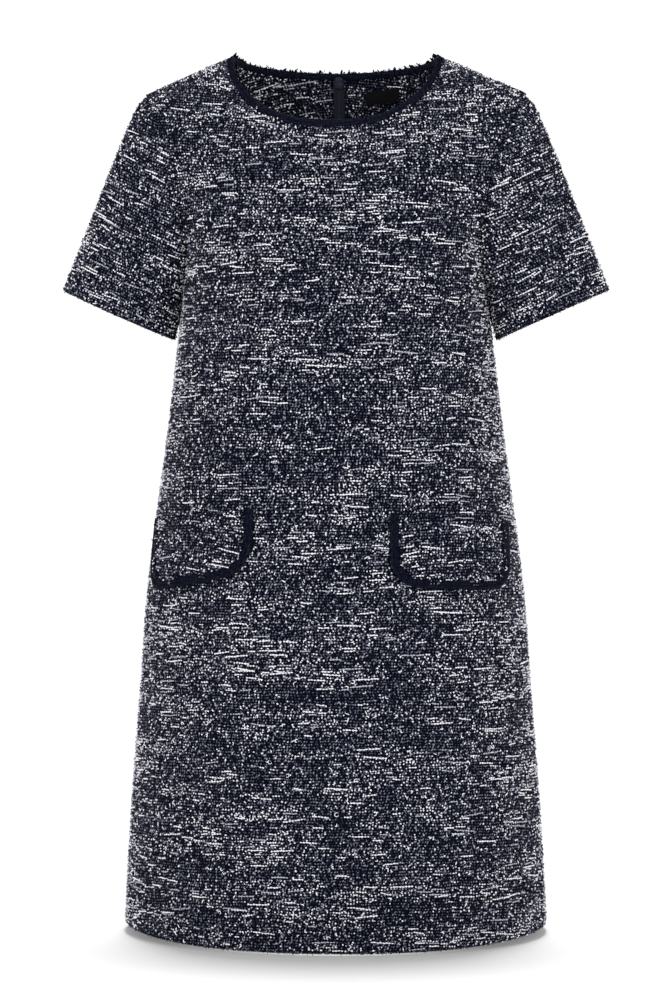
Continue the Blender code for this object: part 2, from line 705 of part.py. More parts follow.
def label(cloth):
    """A small plain label inside the left back neck, laid on the panel's own facets."""
    outer, facing = [], []
    for up in LABEL_ROWS:
        low, part = int(up), up - int(up)
        for table, result in zip(BACK, (outer, facing)):
            line = [below.lerp(above, part) for below, above in zip(table[low], table[low + 1])]
            result.append([line[int(c)].lerp(line[int(c) + 1], c - int(c)) for c in LABEL_COLUMNS])
    face = WALL + SEAM_GAP
    wall_between("label", inside(outer, facing, face), inside(outer, facing, face + LABEL_WALL), cloth)


for thing in list(bpy.data.objects):
    bpy.data.objects.remove(thing)

tweed = plain_material("boucle_tweed", (0.075, 0.08, 0.10), 0.95)
navy_binding = plain_material("navy_binding", (0.012, 0.014, 0.026), 0.85)
zip_tape_navy = plain_material("zip_tape_navy", (0.014, 0.016, 0.030), 0.75)
zip_coil_navy = plain_material("zip_coil_navy", (0.020, 0.024, 0.045), 0.45)
enamelled_metal = plain_material("enamelled_metal", (0.025, 0.030, 0.055), 0.35)
black_satin = plain_material("black_satin", (0.010, 0.010, 0.012), 0.4)

front_panel(tweed)
back_panels(tweed)
sleeves(tweed)
neck_binding(navy_binding)
for side_name in FLAPS:
    pocket_flap(side_name, tweed, navy_binding)
zip_tapes_and_coil(zip_tape_navy, zip_coil_navy)
zip_slider(enamelled_metal)
zip_pull(enamelled_metal)
label(black_satin)
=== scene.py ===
"""Short-sleeved sheath dress in navy and ivory boucle tweed, standing filled out on a white studio floor.

Every length is in metres, and in millimetres where a name or a comment says so. The dress faces -Y, its left side is
at +X, and the origin lies between its neck points.
"""
from functools import partialmethod
from math import atan2, cos, pi, radians, sin
from random import Random

import bmesh
import bpy
import numpy as np
from mathutils import Matrix, Vector, noise
from mathutils.bvhtree import BVHTree
from mathutils.geometry import barycentric_transform
from mathutils.kdtree import KDTree


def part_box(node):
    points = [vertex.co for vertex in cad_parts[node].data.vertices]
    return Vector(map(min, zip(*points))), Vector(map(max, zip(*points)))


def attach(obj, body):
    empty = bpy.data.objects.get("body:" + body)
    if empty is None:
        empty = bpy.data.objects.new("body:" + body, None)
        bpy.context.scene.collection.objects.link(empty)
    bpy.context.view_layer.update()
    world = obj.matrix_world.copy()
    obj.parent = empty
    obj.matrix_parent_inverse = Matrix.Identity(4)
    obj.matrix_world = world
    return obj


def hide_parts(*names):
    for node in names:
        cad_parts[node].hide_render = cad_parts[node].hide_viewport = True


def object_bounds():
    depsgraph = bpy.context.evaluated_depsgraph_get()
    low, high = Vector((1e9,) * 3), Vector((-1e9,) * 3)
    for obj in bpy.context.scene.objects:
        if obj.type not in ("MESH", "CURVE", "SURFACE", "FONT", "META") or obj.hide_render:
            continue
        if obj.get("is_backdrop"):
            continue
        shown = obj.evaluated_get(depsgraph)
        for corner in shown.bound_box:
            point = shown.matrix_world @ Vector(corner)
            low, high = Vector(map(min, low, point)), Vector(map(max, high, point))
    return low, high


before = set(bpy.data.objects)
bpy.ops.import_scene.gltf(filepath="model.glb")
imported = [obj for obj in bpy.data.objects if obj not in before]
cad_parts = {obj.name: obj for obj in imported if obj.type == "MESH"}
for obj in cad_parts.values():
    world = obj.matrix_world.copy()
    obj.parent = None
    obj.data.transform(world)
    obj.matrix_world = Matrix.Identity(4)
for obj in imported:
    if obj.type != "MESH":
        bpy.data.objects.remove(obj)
packed_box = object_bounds()

# The camera: a long lens at chest height in front of the dress, a little to its left, tilted down until the hem is
# in view.
EYE_DISTANCE, EYE_LEVEL, EYE_TURN, LENS = 3.5, -0.25, radians(3), 127.6
AIM = Vector((0.0005, 0.0, -0.438))
eye = Vector((EYE_DISTANCE * sin(EYE_TURN), -EYE_DISTANCE * cos(EYE_TURN), EYE_LEVEL))
camera = bpy.data.objects.new("camera", bpy.data.cameras.new("camera"))
camera.data.lens = LENS
camera.location = eye
camera.rotation_mode = "QUATERNION"
camera.rotation_quaternion = (AIM - eye).to_track_quat("-Z", "Y")
bpy.context.collection.objects.link(camera)
bpy.context.scene.camera = camera

# The studio: a wide paper floor under an even white sky, and two large soft lamps in front that light the dress alone.
# Two more light the floor alone: a high one a little behind, so that the hem's shadow falls close in front of it, and
# a fill that passes through the dress and keeps the shadow light.
FLOOR_LEVEL, FLOOR_HALF_WIDTH = -0.8585, 40.0
SKY = 1.08
LAMPS = (
    ("key_lamp", Vector((-1.5, -3.4, 1.3)), 2.4, 47.0),
    ("fill_lamp", Vector((2.2, -3.0, 0.6)), 2.4, 34.0),
)
FLOOR_LAMP, FLOOR_LAMP_BEHIND, FLOOR_LAMP_WIDE = 5.6, radians(10.3), radians(11.5)
FLOOR_FILL = 1.9
PAPER_WHITE = 0.33


def put_up(name, kind, matrix, link_state, **settings):
    """Puts up a lamp that lights the floor alone, with INCLUDE, or everything but the floor, with EXCLUDE."""
    lamp = bpy.data.lights.new(name, kind)
    for setting, value in settings.items():
        setattr(lamp, setting, value)
    stand = bpy.data.objects.new(name, lamp)
    stand.matrix_world = matrix
    linked = bpy.data.collections.new(f"{name}_receivers")
    linked.objects.link(studio_floor)
    linked.collection_objects[0].light_linking.link_state = link_state
    stand.light_linking.receiver_collection = linked
    bpy.context.collection.objects.link(stand)
    return stand


def keep(name, bm, *materials):
    """Turns a bmesh into a smooth-shaded object that wears these materials."""
    mesh = bpy.data.meshes.new(name)
    bm.to_mesh(mesh)
    bm.free()
    for material in materials:
        mesh.materials.append(material)
    mesh.shade_smooth()
    thing = bpy.data.objects.new(name, mesh)
    bpy.context.collection.objects.link(thing)
    return thing


def principled(name, colour, roughness, **more):
    """A material with one Principled shader."""
    material = bpy.data.materials.new(name)
    material.use_nodes = True
    shader = material.node_tree.nodes["Principled BSDF"]
    shader.inputs["Base Color"].default_value = (*colour, 1.0)
    shader.inputs["Roughness"].default_value = roughness
    for socket, value in more.items():
        shader.inputs[socket.replace("_", " ")].default_value = value
    return material


sky = bpy.data.worlds.new("white_sky")
sky.use_nodes = True
background = sky.node_tree.nodes["Background"].inputs
background["Strength"].default_value, background["Color"].default_value = SKY, (1.0, 1.0, 1.0, 1.0)
bpy.context.scene.world = sky
bpy.context.scene.view_settings.view_transform = "Standard"

floor = bmesh.new()
bmesh.ops.create_grid(floor, x_segments=8, y_segments=8, size=FLOOR_HALF_WIDTH)
bmesh.ops.translate(floor, vec=(0.0, 0.0, FLOOR_LEVEL), verts=floor.verts)
paper = principled("white_paper", [PAPER_WHITE] * 3, 0.95, Specular_IOR_Level=0.0)
studio_floor = keep("studio_floor", floor, paper)
studio_floor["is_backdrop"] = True
for name, place, size, power in LAMPS:
    facing = (AIM - place).to_track_quat("-Z", "Y").to_matrix().to_4x4()
    put_up(name, "AREA", Matrix.Translation(place) @ facing, "EXCLUDE", shape="SQUARE", size=size, energy=power)
leaning = Matrix.Rotation(-FLOOR_LAMP_BEHIND, 4, "X")
floor_lamp = put_up("floor_lamp", "SUN", leaning, "INCLUDE", energy=FLOOR_LAMP, angle=FLOOR_LAMP_WIDE)
floor_fill = put_up("floor_fill", "SUN", Matrix(), "INCLUDE", energy=FLOOR_FILL)
floor_fill.light_linking.blocker_collection = floor_fill.light_linking.receiver_collection

# The front of the dress: one panel of stiff boucle tweed, cut on the straight grain, with a navy ground and a weft of
# ivory slub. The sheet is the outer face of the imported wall, made finer, laid out flat for its weave, and walled.
TO_MM = 1000.0
SMOOTH_BEND = radians(50)
EDGE_ROW, SHEET_CUTS, IRONING = 0.0058, 3, 4
CLOTH_WALL, UNDER_BINDING = 0.0022, 0.0058
BODY_HEART = Vector((0.0, 0.0, -0.45))
CENTRE_FRONT = Vector((0.0, -0.151, -0.855)), Vector((0.0, -0.076, -0.0715))
NECK_HALF_WIDTH, NECK_FRONT_FOOT = 0.0996, -0.0722
HEM_HALF_WIDTH, HEM_HEAD = 0.2074, -0.845


def belongs(piece, slot, *nodes):
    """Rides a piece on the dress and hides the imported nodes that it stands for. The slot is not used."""
    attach(piece, "dress")
    if nodes:
        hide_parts(*nodes)
    return piece


def facing_away(faces, heart):
    """How much a group of faces looks away from its heart, by their area."""
    return sum(face.calc_area() * face.normal.dot(face.calc_center_median() - heart) for face in faces)


def outer_sheet(node, heart):
    """The side of a packed wall that looks away from its heart, as one open sheet of squares.

    The wall has a narrow row of faces along its edge, which goes, so that the sheet's faces are of one size.
    """
    bm = bmesh.new()
    bm.from_mesh(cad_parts[node].data)
    bmesh.ops.remove_doubles(bm, verts=bm.verts, dist=1e-6)
    regions, waiting = [], set(bm.faces)
    while waiting:
        region, reached = [], [waiting.pop()]
        while reached:
            face = reached.pop()
            region.append(face)
            for edge in face.edges:
                for near in edge.link_faces:
                    if near in waiting and near.normal.angle(face.normal, 0.0) < SMOOTH_BEND:
                        waiting.remove(near)
                        reached.append(near)
        regions.append(region)
    outer = set(max(regions, key=lambda region: facing_away(region, heart)))
    bmesh.ops.delete(bm, geom=[face for face in bm.faces if face not in outer], context="FACES")
    edge_rows = {}
    for vert in bm.verts:
        for edge in vert.link_edges:
            near = edge.other_vert(vert)
            if vert.is_boundary and not near.is_boundary and edge.calc_length() < EDGE_ROW:
                edge_rows[near] = vert
    bmesh.ops.weld_verts(bm, targetmap=edge_rows)
    bmesh.ops.join_triangles(bm, faces=bm.faces, angle_face_threshold=pi, angle_shape_threshold=pi)
    bmesh.ops.recalc_face_normals(bm, faces=bm.faces)
    if facing_away(bm.faces, heart) < 0:
        bmesh.ops.reverse_faces(bm, faces=bm.faces)
    return bm


def finer(bm, iron_edges=True):
    """Splits the faces of a sheet along its curve, then irons out what is left of the old facets."""
    bmesh.ops.subdivide_edges(bm, edges=bm.edges, cuts=SHEET_CUTS, smooth=1.0, use_grid_fill=True)
    inner = [vert for vert in bm.verts if not vert.is_boundary]
    rims = []
    for vert in bm.verts:
        if iron_edges and vert.is_boundary:
            sides = [edge.other_vert(vert) for edge in vert.link_edges if edge.is_boundary]
            if len(sides) == 2 and (sides[0].co - vert.co).angle(vert.co - sides[1].co) < SMOOTH_BEND:
                rims.append((vert, *sides))
    for _ in range(IRONING):
        bmesh.ops.smooth_vert(bm, verts=inner, factor=0.5, use_axis_x=True, use_axis_y=True, use_axis_z=True)
        moved = [vert.co.lerp((one.co + other.co) / 2, 0.5) for vert, one, other in rims]
        for (vert, _, _), place in zip(rims, moved):
            vert.co = place
    bm.normal_update()
    return bm


def tweed_sheet(node, heart, iron_edges=True):
    """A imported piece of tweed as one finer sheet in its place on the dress, still without its wall."""
    sheet = keep(f"{node}_tweed", finer(outer_sheet(node, heart), iron_edges), outer_tweed)
    return belongs(sheet, "boucle_tweed", node)


def lay_flat(sheet, low, high, place):
    """Unrolls a sheet into its flat pattern, a UV map in metres with the sheet's true area.

    The pattern stands upright from its low point to its high one, and its low point lies at a place of its own.
    """
    bpy.ops.object.select_all(action="DESELECT")
    sheet.select_set(True)
    bpy.context.view_layer.objects.active = sheet
    bpy.ops.object.mode_set(mode="EDIT")
    bpy.ops.mesh.select_all(action="SELECT")
    bpy.ops.uv.unwrap(method="MINIMUM_STRETCH", margin=0.0)
    bpy.ops.object.mode_set(mode="OBJECT")
    mesh = sheet.data
    layer = mesh.uv_layers.active
    flat = np.zeros(len(mesh.loops) * 2, np.float32)
    layer.uv.foreach_get("vector", flat)
    flat = flat.reshape(-1, 2).astype(float)
    corner_of = {}
    for loop in mesh.loops:
        corner_of.setdefault(loop.vertex_index, loop.index)
    nearest = [min(mesh.vertices, key=lambda vert: (vert.co - point).length).index for point in (low, high)]
    foot, head = (flat[corner_of[index]] for index in nearest)
    lean = atan2(*(head - foot))
    turn = np.array(((cos(lean), -sin(lean)), (sin(lean), cos(lean))))
    flat = (flat - foot) @ turn.T
    cloth_area = sum(face.area for face in mesh.polygons)
    flat_area = 0.0
    for face in mesh.polygons:
        ring = flat[list(face.loop_indices)]
        onward = np.roll(ring, -1, axis=0)
        flat_area += float((ring[:, 0] * onward[:, 1] - ring[:, 1] * onward[:, 0]).sum()) / 2
    flat *= (cloth_area / abs(flat_area)) ** 0.5
    if flat_area < 0:
        flat[:, 0] *= -1
    layer.uv.foreach_set("vector", (flat + np.array(place)).astype(np.float32).ravel())
    layer.name = "cloth"


def edge_points(sheet, wanted=lambda place: True):
    """Places, normals and ways out of the cloth along the edge of a sheet, where a test on the place holds."""
    bm = bmesh.new()
    bm.from_mesh(sheet.data)
    bm.normal_update()
    found = []
    for vert in bm.verts:
        if vert.is_boundary and wanted(vert.co):
            faces = vert.link_faces
            middle = sum((face.calc_center_median() for face in faces), Vector()) / len(faces)
            found.append((vert.co.copy(), vert.normal.copy(), vert.co - middle))
    bm.free()
    return found


def clear_of(stops, reach):
    """A test that a place lies further than this from an edge."""
    tree = KDTree(len(stops))
    for i, stop in enumerate(stops):
        tree.insert(stop[0], i)
    tree.balance()
    return lambda place: tree.find(place)[2] > reach


def give_wall(sheet, wall):
    """Thickens a sheet inward, away from the face it shows."""
    bm = bmesh.new()
    bm.from_mesh(sheet.data)
    bm.normal_update()
    inward = {vert.index: vert.normal * -wall for vert in bm.verts}
    place = bm.verts.layers.int.new("place")
    for vert in bm.verts:
        vert[place] = vert.index
    grown = bmesh.ops.extrude_face_region(bm, geom=bm.faces[:], use_keep_orig=True)
    for part in grown["geom"]:
        if isinstance(part, bmesh.types.BMVert):
            part.co += inward[part[place]]
    bm.verts.layers.int.remove(place)
    bmesh.ops.recalc_face_normals(bm, faces=bm.faces)
    for edge in bm.edges:
        edge.smooth = len(edge.link_faces) != 2 or edge.calc_face_angle(0.0) < SMOOTH_BEND
    bm.to_mesh(sheet.data)
    bm.free()


class Strand:
    """An output of a shader node. Sums written with it add Math nodes, and spin adds any other node."""

    def __init__(self, socket):
        self.socket = socket

    def spin(self, kind, settings, sockets, out=0):
        """A node of this kind: its settings first, then the values or strands of its sockets."""
        tree = self.socket.id_data
        node = tree.nodes.new(kind)
        for setting, value in settings.items():
            setattr(node, setting, value)
        for name, value in sockets.items():
            if isinstance(value, Strand):
                tree.links.new(value.socket, node.inputs[name])
            else:
                node.inputs[name].default_value = value
        return Strand(node.outputs[out])

    def sum(self, operation, *others):
        """A Math node of this operation on the strand and some other values or strands."""
        return self.spin("ShaderNodeMath", {"operation": operation}, dict(enumerate((self, *others))))

    __add__ = __radd__ = partialmethod(sum, "ADD")
    __sub__, __rsub__ = partialmethod(sum, "SUBTRACT"), partialmethod(sum, "MULTIPLY_ADD", -1.0)
    __mul__ = __rmul__ = partialmethod(sum, "MULTIPLY")
    __truediv__, __pow__ = partialmethod(sum, "DIVIDE"), partialmethod(sum, "POWER")
    __abs__ = partialmethod(sum, "ABSOLUTE")

    def wave(self):
        """Up and down between 0 and 1 as the strand's value grows."""
        return self.sum("SINE") * 0.5 + 0.5

    def rise(self, low, high):
        """0 below low and 1 above high, with a soft step between; it falls instead where high is the lower."""
        up = {"Value": self, "From Min": min(low, high), "From Max": max(low, high)}
        up["To Min"], up["To Max"] = (0.0, 1.0) if low < high else (1.0, 0.0)
        return self.spin("ShaderNodeMapRange", {"interpolation_type": "SMOOTHSTEP"}, up)

    def point(self, x, y, z=0.0):
        """A vector of three values or strands."""
        return self.spin("ShaderNodeCombineXYZ", {}, {"X": x, "Y": y, "Z": z})

    def noise(self, scale, detail=1.0, roughness=0.5):
        """Soft noise from 0 to 1 at the place that the strand holds."""
        sockets = {"Vector": self, "Scale": scale, "Detail": detail, "Roughness": roughness}
        return self.spin("ShaderNodeTexNoise", {"noise_dimensions": "3D"}, sockets)

    def blend(self, *tones):
        """A colour that goes from the first of two tones to the second as the strand's value goes from 0 to 1."""
        first, second = ((*tone, 1.0) if isinstance(tone, tuple) else tone for tone in tones)
        sockets = {0: self, 6: first, 7: second}
        return self.spin("ShaderNodeMix", {"data_type": "RGBA", "clamp_factor": True}, sockets, out=2)

    def feed(self, name):
        """Links the strand to a socket of its material's shader."""
        tree = self.socket.id_data
        tree.links.new(self.socket, tree.nodes["Principled BSDF"].inputs[name])

    def emboss(self, strength, depth):
        """Raises the surface of the strand's material by its value."""
        self.spin("ShaderNodeBump", {}, {"Strength": strength, "Distance": depth, "Height": self}).feed("Normal")


def flat_place(material):
    """The flat pattern's coordinates in a material, in millimetres, as a vector and its two parts."""
    node = material.node_tree.nodes.new("ShaderNodeUVMap")
    node.uv_map = "cloth"
    pattern = Strand(node.outputs[0])
    place = pattern.spin("ShaderNodeVectorMath", {"operation": "SCALE"}, {0: pattern, "Scale": TO_MM})
    return place, *(place.spin("ShaderNodeSeparateXYZ", {}, {"Vector": place}, out=i) for i in range(2))


WEFT_PITCH, WARP_PITCH = 2.75, 2.95
NAVY, NAVY_LIGHT, GREY = (0.0005, 0.0008, 0.0034), (0.029, 0.034, 0.062), (0.275, 0.285, 0.355)


def tweed(name):
    """The flat weave behind the slub: a navy ground, with painted shade between its knots, and dim grey knots and
    strokes where the yarn comes up.
    """
    material = principled(name, NAVY, 0.95, Sheen_Weight=0.02, Specular_IOR_Level=0.0)
    place, across, up = flat_place(material)
    up = up + (place.noise(0.022) - 0.5) * 5.0
    cluster = place.point(across / 42.0, up / 13.0, 1.7).noise(1.0, 2.0, 0.55).rise(0.40, 0.66)

    row = up / WEFT_PITCH
    row_number = row.sum("FLOOR")
    wander = place.point(across / 5.0, row_number * 7.31, 4.0).noise(1.0) - 0.5
    off_row = (row - row_number - 0.5 + wander * 0.9) * WEFT_PITCH
    column = across / WARP_PITCH + row.spin("ShaderNodeTexWhiteNoise", {"noise_dimensions": "1D"}, {"W": row_number})
    column_number = column.sum("FLOOR")
    off_column = (column - column_number - 0.5) * WARP_PITCH

    cell = place.point(column_number, row_number)
    chance, chances = (
        cell.spin("ShaderNodeTexWhiteNoise", {"noise_dimensions": "3D"}, {"Vector": cell}, out=i) for i in range(2))
    lean_by, long_by, aside = (
        chances.spin("ShaderNodeSeparateColor", {}, {"Color": chances}, out=i) for i in range(3))
    lean, x = (lean_by - 0.5) * 3.1, off_column - (aside - 0.5) * 1.7
    level, upright = lean.sum("COSINE"), lean.sum("SINE")
    along = (x * level + off_row * upright) / (0.60 + long_by * long_by)
    beside = (off_row * level - x * upright) / 0.58
    knot_shape = (along * along + beside * beside).rise(1.7, 0.2)
    knot = knot_shape * chance ** (2.0 - 0.9 * cluster)

    fibre = place.noise(1.3, 2.0, 0.7)
    yarn = knot * (0.45 + 0.95 * fibre)
    # Painted shade: the ground is drawn lighter on each knot and darkest, near the very dark NAVY, in the gaps between
    # the knots, where shade falls between the yarns. The rest of its change is the navy wool's own tone.
    ground = fibre.rise(0.30, 0.72) * (0.12 + 0.88 * knot_shape)
    yarn.blend(ground.blend(NAVY, NAVY_LIGHT), GREY).feed("Base Color")
    (yarn * 0.6 + ground * 0.35).emboss(0.8, 0.0009)
    return material


YARNS = (
    ("ivory_slub", (0.84, 0.825, 0.88)), ("pale_grey_slub", (0.41, 0.415, 0.48)), ("grey_slub", (0.135, 0.143, 0.19)),
    ("navy_loop", (0.0036, 0.0046, 0.0120)),
)
IVORY, PALE, DULL, DARK = range(4)
PALE_STROKES = 0.34
CLUSTER_WIDE, CLUSTER_HIGH = 46.0, 14.0
yarn_tones = [principled(name, tone, 0.95, Specular_IOR_Level=0.0) for name, tone in YARNS]


def yarn_piece(name, strokes, slot, tones, *nodes):
    """Round yarn as one piece: each stroke is a tone and a line of (place, thickness in millimetres)."""
    drawing = bpy.data.curves.new(name, "CURVE")
    drawing.dimensions = "3D"
    drawing.bevel_depth, drawing.bevel_resolution = 0.5 / TO_MM, 0
    for tone in tones:
        drawing.materials.append(tone)
    for tone, line in strokes:
        spline = drawing.splines.new("POLY")
        spline.points.add(len(line) - 1)
        for point, (place, thick) in zip(spline.points, line):
            point.co, point.radius = (*place, 1.0), thick
        spline.material_index = tone
    holder = bpy.data.objects.new(name, drawing)
    bm = bmesh.new()
    bm.from_mesh(bpy.data.meshes.new_from_object(holder))
    bpy.data.objects.remove(holder)
    bmesh.ops.remove_doubles(bm, verts=bm.verts, dist=1e-7)
    bmesh.ops.recalc_face_normals(bm, faces=bm.faces)
    return belongs(keep(name, bm, *tones), slot, *nodes)


SNIPPET = 1.1


def stroke(root, *points):
    """A stroke of yarn from a root: its points are shifts off the root, and thicknesses, in millimetres."""
    return [(root + shift / TO_MM, thick) for shift, thick in points]


def snippet(root, way, thick, bulge=Vector()):
    """A short end of yarn through a place, drawn out to nothing both ways, whose middle may bulge."""
    way = way.normalized() * SNIPPET
    return stroke(root, (-way, 0.0), (bulge, thick), (way, 0.0))


def on_cloth(sheet):
    """A way to carry a point of the sheet's flat pattern, with a lift off it, onto the cloth; nothing past its edge."""
    mesh = sheet.data
    flat_map = mesh.uv_layers["cloth"].uv
    mesh.calc_loop_triangles()
    corners, places, ways = [], [], []
    for part in mesh.loop_triangles:
        for loop, index in zip(part.loops, part.vertices):
            corners.append(Vector((*flat_map[loop].vector, 0.0)))
            places.append(mesh.vertices[index].co.copy())
            ways.append(mesh.vertices[index].normal.copy())
    tree = BVHTree.FromPolygons(corners, [(i, i + 1, i + 2) for i in range(0, len(corners), 3)])
    down = Vector((0.0, 0.0, -1.0))

    def carry(across, up, lift):
        hit, _, index, _ = tree.ray_cast(Vector((across, up, 1.0)), down)
        if hit is None:
            return None
        at = slice(3 * index, 3 * index + 3)
        place = barycentric_transform(hit, *corners[at], *places[at])
        way = barycentric_transform(hit, *corners[at], *ways[at])
        return place + way.normalized() * lift

    return carry, corners


def broken_float(chance):
    """A float of slub that dips under every warp end, so that it shows as a chain of beads, and its heading.

    This and the next four give a stroke as rows of (along, beside, thickness, lift) in millimetres.
    """
    beads = chance.choice((2, 2, 3, 3, 4, 4, 5, 6, 8))
    line = [(-1.0, 0.0, 0.0, 0.0)]
    for bead in range(beads):
        at, aside = bead * WARP_PITCH, chance.uniform(-0.35, 0.35)
        line.append((at, aside, chance.uniform(1.2, 2.2), 0.5))
        line.append((at + WARP_PITCH / 2, aside * 0.5, chance.choice((0.2, 0.5, 0.9)), -0.2))
    line[-1] = (beads * WARP_PITCH - 1.75, 0.0, 0.0, 0.0)
    return line, chance.gauss(0.0, 0.07)


def slant(chance):
    """A stroke laid across the weave."""
    long_by, thick = chance.uniform(2.4, 6.0), chance.uniform(0.75, 1.15)
    line = [
        (0.0, 0.0, 0.0, 0.0), (long_by * 0.35, chance.uniform(-0.3, 0.3), thick, 0.4),
        (long_by * 0.75, chance.uniform(-0.3, 0.3), thick, 0.4), (long_by, 0.0, 0.0, 0.0)]
    return line, chance.choice((-1, 1)) * chance.uniform(0.35, 1.5)


def hook(chance):
    """A stroke that turns a corner."""
    first, second, thick = chance.uniform(1.6, 3.4), chance.uniform(1.4, 3.2), chance.uniform(0.8, 1.25)
    side = chance.choice((-1, 1))
    line = [
        (0.0, 0.0, 0.0, 0.0), (first * 0.5, 0.1, thick, 0.45), (first, 0.0, thick, 0.5),
        (first + 0.2, side * second * 0.5, thick, 0.4), (first - 0.3, side * second, 0.0, 0.0)]
    return line, chance.choice((0.0, 0.0, pi))


def curl(chance):
    """A loop that stands up from the cloth."""
    radius, thick, sweep = chance.uniform(0.9, 2.1), chance.uniform(0.6, 1.0), chance.uniform(3.4, 5.8)
    squash, line = chance.uniform(0.6, 1.0), []
    for step in range(8):
        turn = sweep * step / 7
        ends = 0.0 if step in (0, 7) else thick
        line.append((radius * cos(turn), radius * squash * sin(turn), ends, 0.2 + 0.7 * sin(pi * step / 7)))
    return line, chance.uniform(0.0, 2 * pi)


def nub(chance):
    """A short thick knot of yarn."""
    thick, longer = chance.uniform(1.5, 2.4), chance.choice((1.0, 1.0, 1.0, 1.4))
    half = chance.uniform(0.85, 1.2) * longer
    line = [(-half, 0.0, 0.0, 0.0), (0.0, 0.0, thick, 0.3), (half, 0.0, 0.0, 0.0)]
    return line, chance.choice((chance.gauss(0.0, 0.3), chance.uniform(-1.2, 1.2), 1.45))


STROKES = broken_float, slant, hook, curl, nub
FLOAT, NUB = 0, 4


def how_often(rich, inside):
    """The share of each kind of stroke where yarn is more or less rich, then those of the nubs, tone by tone."""
    strokes = 0.011 + 0.052 * rich * rich, 0.012 + 0.020 * rich, 0.009 + 0.018 * rich, 0.003 + 0.006 * rich
    other_nubs = (0.07, 0.04, 0.03) if inside else (0.090 + 0.120 * rich, 0.115, 0.040)
    return *strokes, 0.055 + 0.290 * rich * rich, *other_nubs


def slub(carry, corners, seed, wanted=lambda place: True, inward=0.0):
    """Strokes of boucle yarn over a flat pattern, thick in some spots and thin in others, carried onto the cloth.

    They come as two lots, the long strokes and the nubs. Yarn that goes inward is on the inside of a wall that thick.
    """
    chance = Random(seed)
    left, right = min(c.x for c in corners) * TO_MM, max(c.x for c in corners) * TO_MM
    bottom, top = min(c.y for c in corners) * TO_MM, max(c.y for c in corners) * TO_MM
    long_strokes, nubs = [], []
    for row in range(int(bottom / WEFT_PITCH), int(top / WEFT_PITCH) + 1):
        column = left + chance.uniform(0.0, WARP_PITCH)
        while column < right:
            across = column + chance.uniform(-0.55, 0.55)
            up = (row + 0.5 + chance.uniform(-0.36, 0.36)) * WEFT_PITCH
            spot, stand = Vector((across / CLUSTER_WIDE, up / CLUSTER_HIGH, 0.37)), chance.uniform(0.05, 0.65)
            rich = min(max(0.5 + 1.0 * noise.noise(spot) + 0.5 * noise.noise(spot * 2.6), 0.0), 1.0)
            roll, kind, passed = chance.random(), 0, 1
            shares = how_often(rich, inward > 0.0)
            while kind < len(shares) and roll > shares[kind]:
                roll -= shares[kind]
                kind += 1
            if kind < len(shares):
                line, heading = STROKES[min(kind, NUB)](chance)
                if kind == FLOAT:
                    passed = len(line) // 2
                if kind < NUB:
                    lot, tone = long_strokes, PALE if chance.random() < PALE_STROKES else IVORY
                else:
                    lot, tone = nubs, kind - NUB
                ahead, aside = cos(heading), sin(heading)
                solid = []
                for x, y, thick, lift in line:
                    place = carry(
                        (across + x * ahead - y * aside) / TO_MM, (up + x * aside + y * ahead) / TO_MM,
                        (lift + stand) / TO_MM if not inward else -inward - lift / TO_MM)
                    solid.append((place, thick))
                if all(place is not None and wanted(place) for place, _ in solid):
                    lot.append((tone, solid))
            column += WARP_PITCH * passed
    return long_strokes, nubs


def dress_in_slub(sheet, seed, **where):
    """The two lots of boucle yarn over a sheet, as two pieces that go with it."""
    carry, corners = on_cloth(sheet)
    base = sheet.name.removesuffix("_tweed")
    lots = zip(slub(carry, corners, seed, **where), ("strokes", "nubs"))
    return [yarn_piece(f"{base}_{word}", lot, "boucle_tweed", yarn_tones) for lot, word in lots]


outer_tweed = tweed("navy_ivory_boucle_tweed")
front = tweed_sheet("front", BODY_HEART)
lay_flat(front, *CENTRE_FRONT, (2.0, 1.0))
front_neck = edge_points(front, lambda at: abs(at.x) < NECK_HALF_WIDTH and at.z > NECK_FRONT_FOOT)
front_yarn = dress_in_slub(front, 11, wanted=clear_of(front_neck, UNDER_BINDING))
front_hem = edge_points(front, lambda at: abs(at.x) < HEM_HALF_WIDTH and at.z < HEM_HEAD)
give_wall(front, CLOTH_WALL)

# The back of the dress: two mirrored panels of the same tweed, which meet at the zip down the centre back. The inside
# of the cloth shows through the neck, so the yarn stands up there too.
CENTRE_BACK = Vector((0.0, 0.146, -0.855)), Vector((0.0, 0.063, -0.0145))
NECK_BACK_FOOT, SHOULDER_LINE = -0.01462, 0.0002
INSIDE_SHOWS_ABOVE, ZIP_HALF_WIDTH, ZIP_EDGE = -0.105, 0.0065, 0.0012
label_low, label_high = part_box("label")


def seen_inside(place):
    """Whether a place shows through the neck, clear of the zip and of the label."""
    by_label = all(low < at < high for at, low, high in zip(place.xz, label_low.xz, label_high.xz))
    return place.z > INSIDE_SHOWS_ABOVE and abs(place.x) > ZIP_HALF_WIDTH and not by_label


back_necks, back_hems = [], {}
for name, place, seed in (("left", (4.0, 1.4), 21), ("right", (6.0, 2.6), 22)):
    back = tweed_sheet(f"back_{name}", BODY_HEART)
    lay_flat(back, *CENTRE_BACK, place)
    back_neck = edge_points(
        back, lambda at: abs(at.x) < NECK_HALF_WIDTH and at.z > NECK_BACK_FOOT and at.y > SHOULDER_LINE)
    back_yarn = dress_in_slub(back, seed, wanted=clear_of(back_neck, UNDER_BINDING))
    carry, corners = on_cloth(back)
    strokes, nubs = slub(carry, corners, seed + 5, seen_inside, CLOTH_WALL)
    back_yarn.append(yarn_piece(f"back_{name}_inner_yarn", strokes + nubs, "boucle_tweed", yarn_tones))
    back_necks += back_neck
    back_hems[name] = edge_points(back, lambda at: abs(at.x) < HEM_HALF_WIDTH and at.z < HEM_HEAD)
    if name == "left":
        zip_edge = edge_points(back, lambda at: abs(at.x) < ZIP_EDGE)
    give_wall(back, CLOTH_WALL)
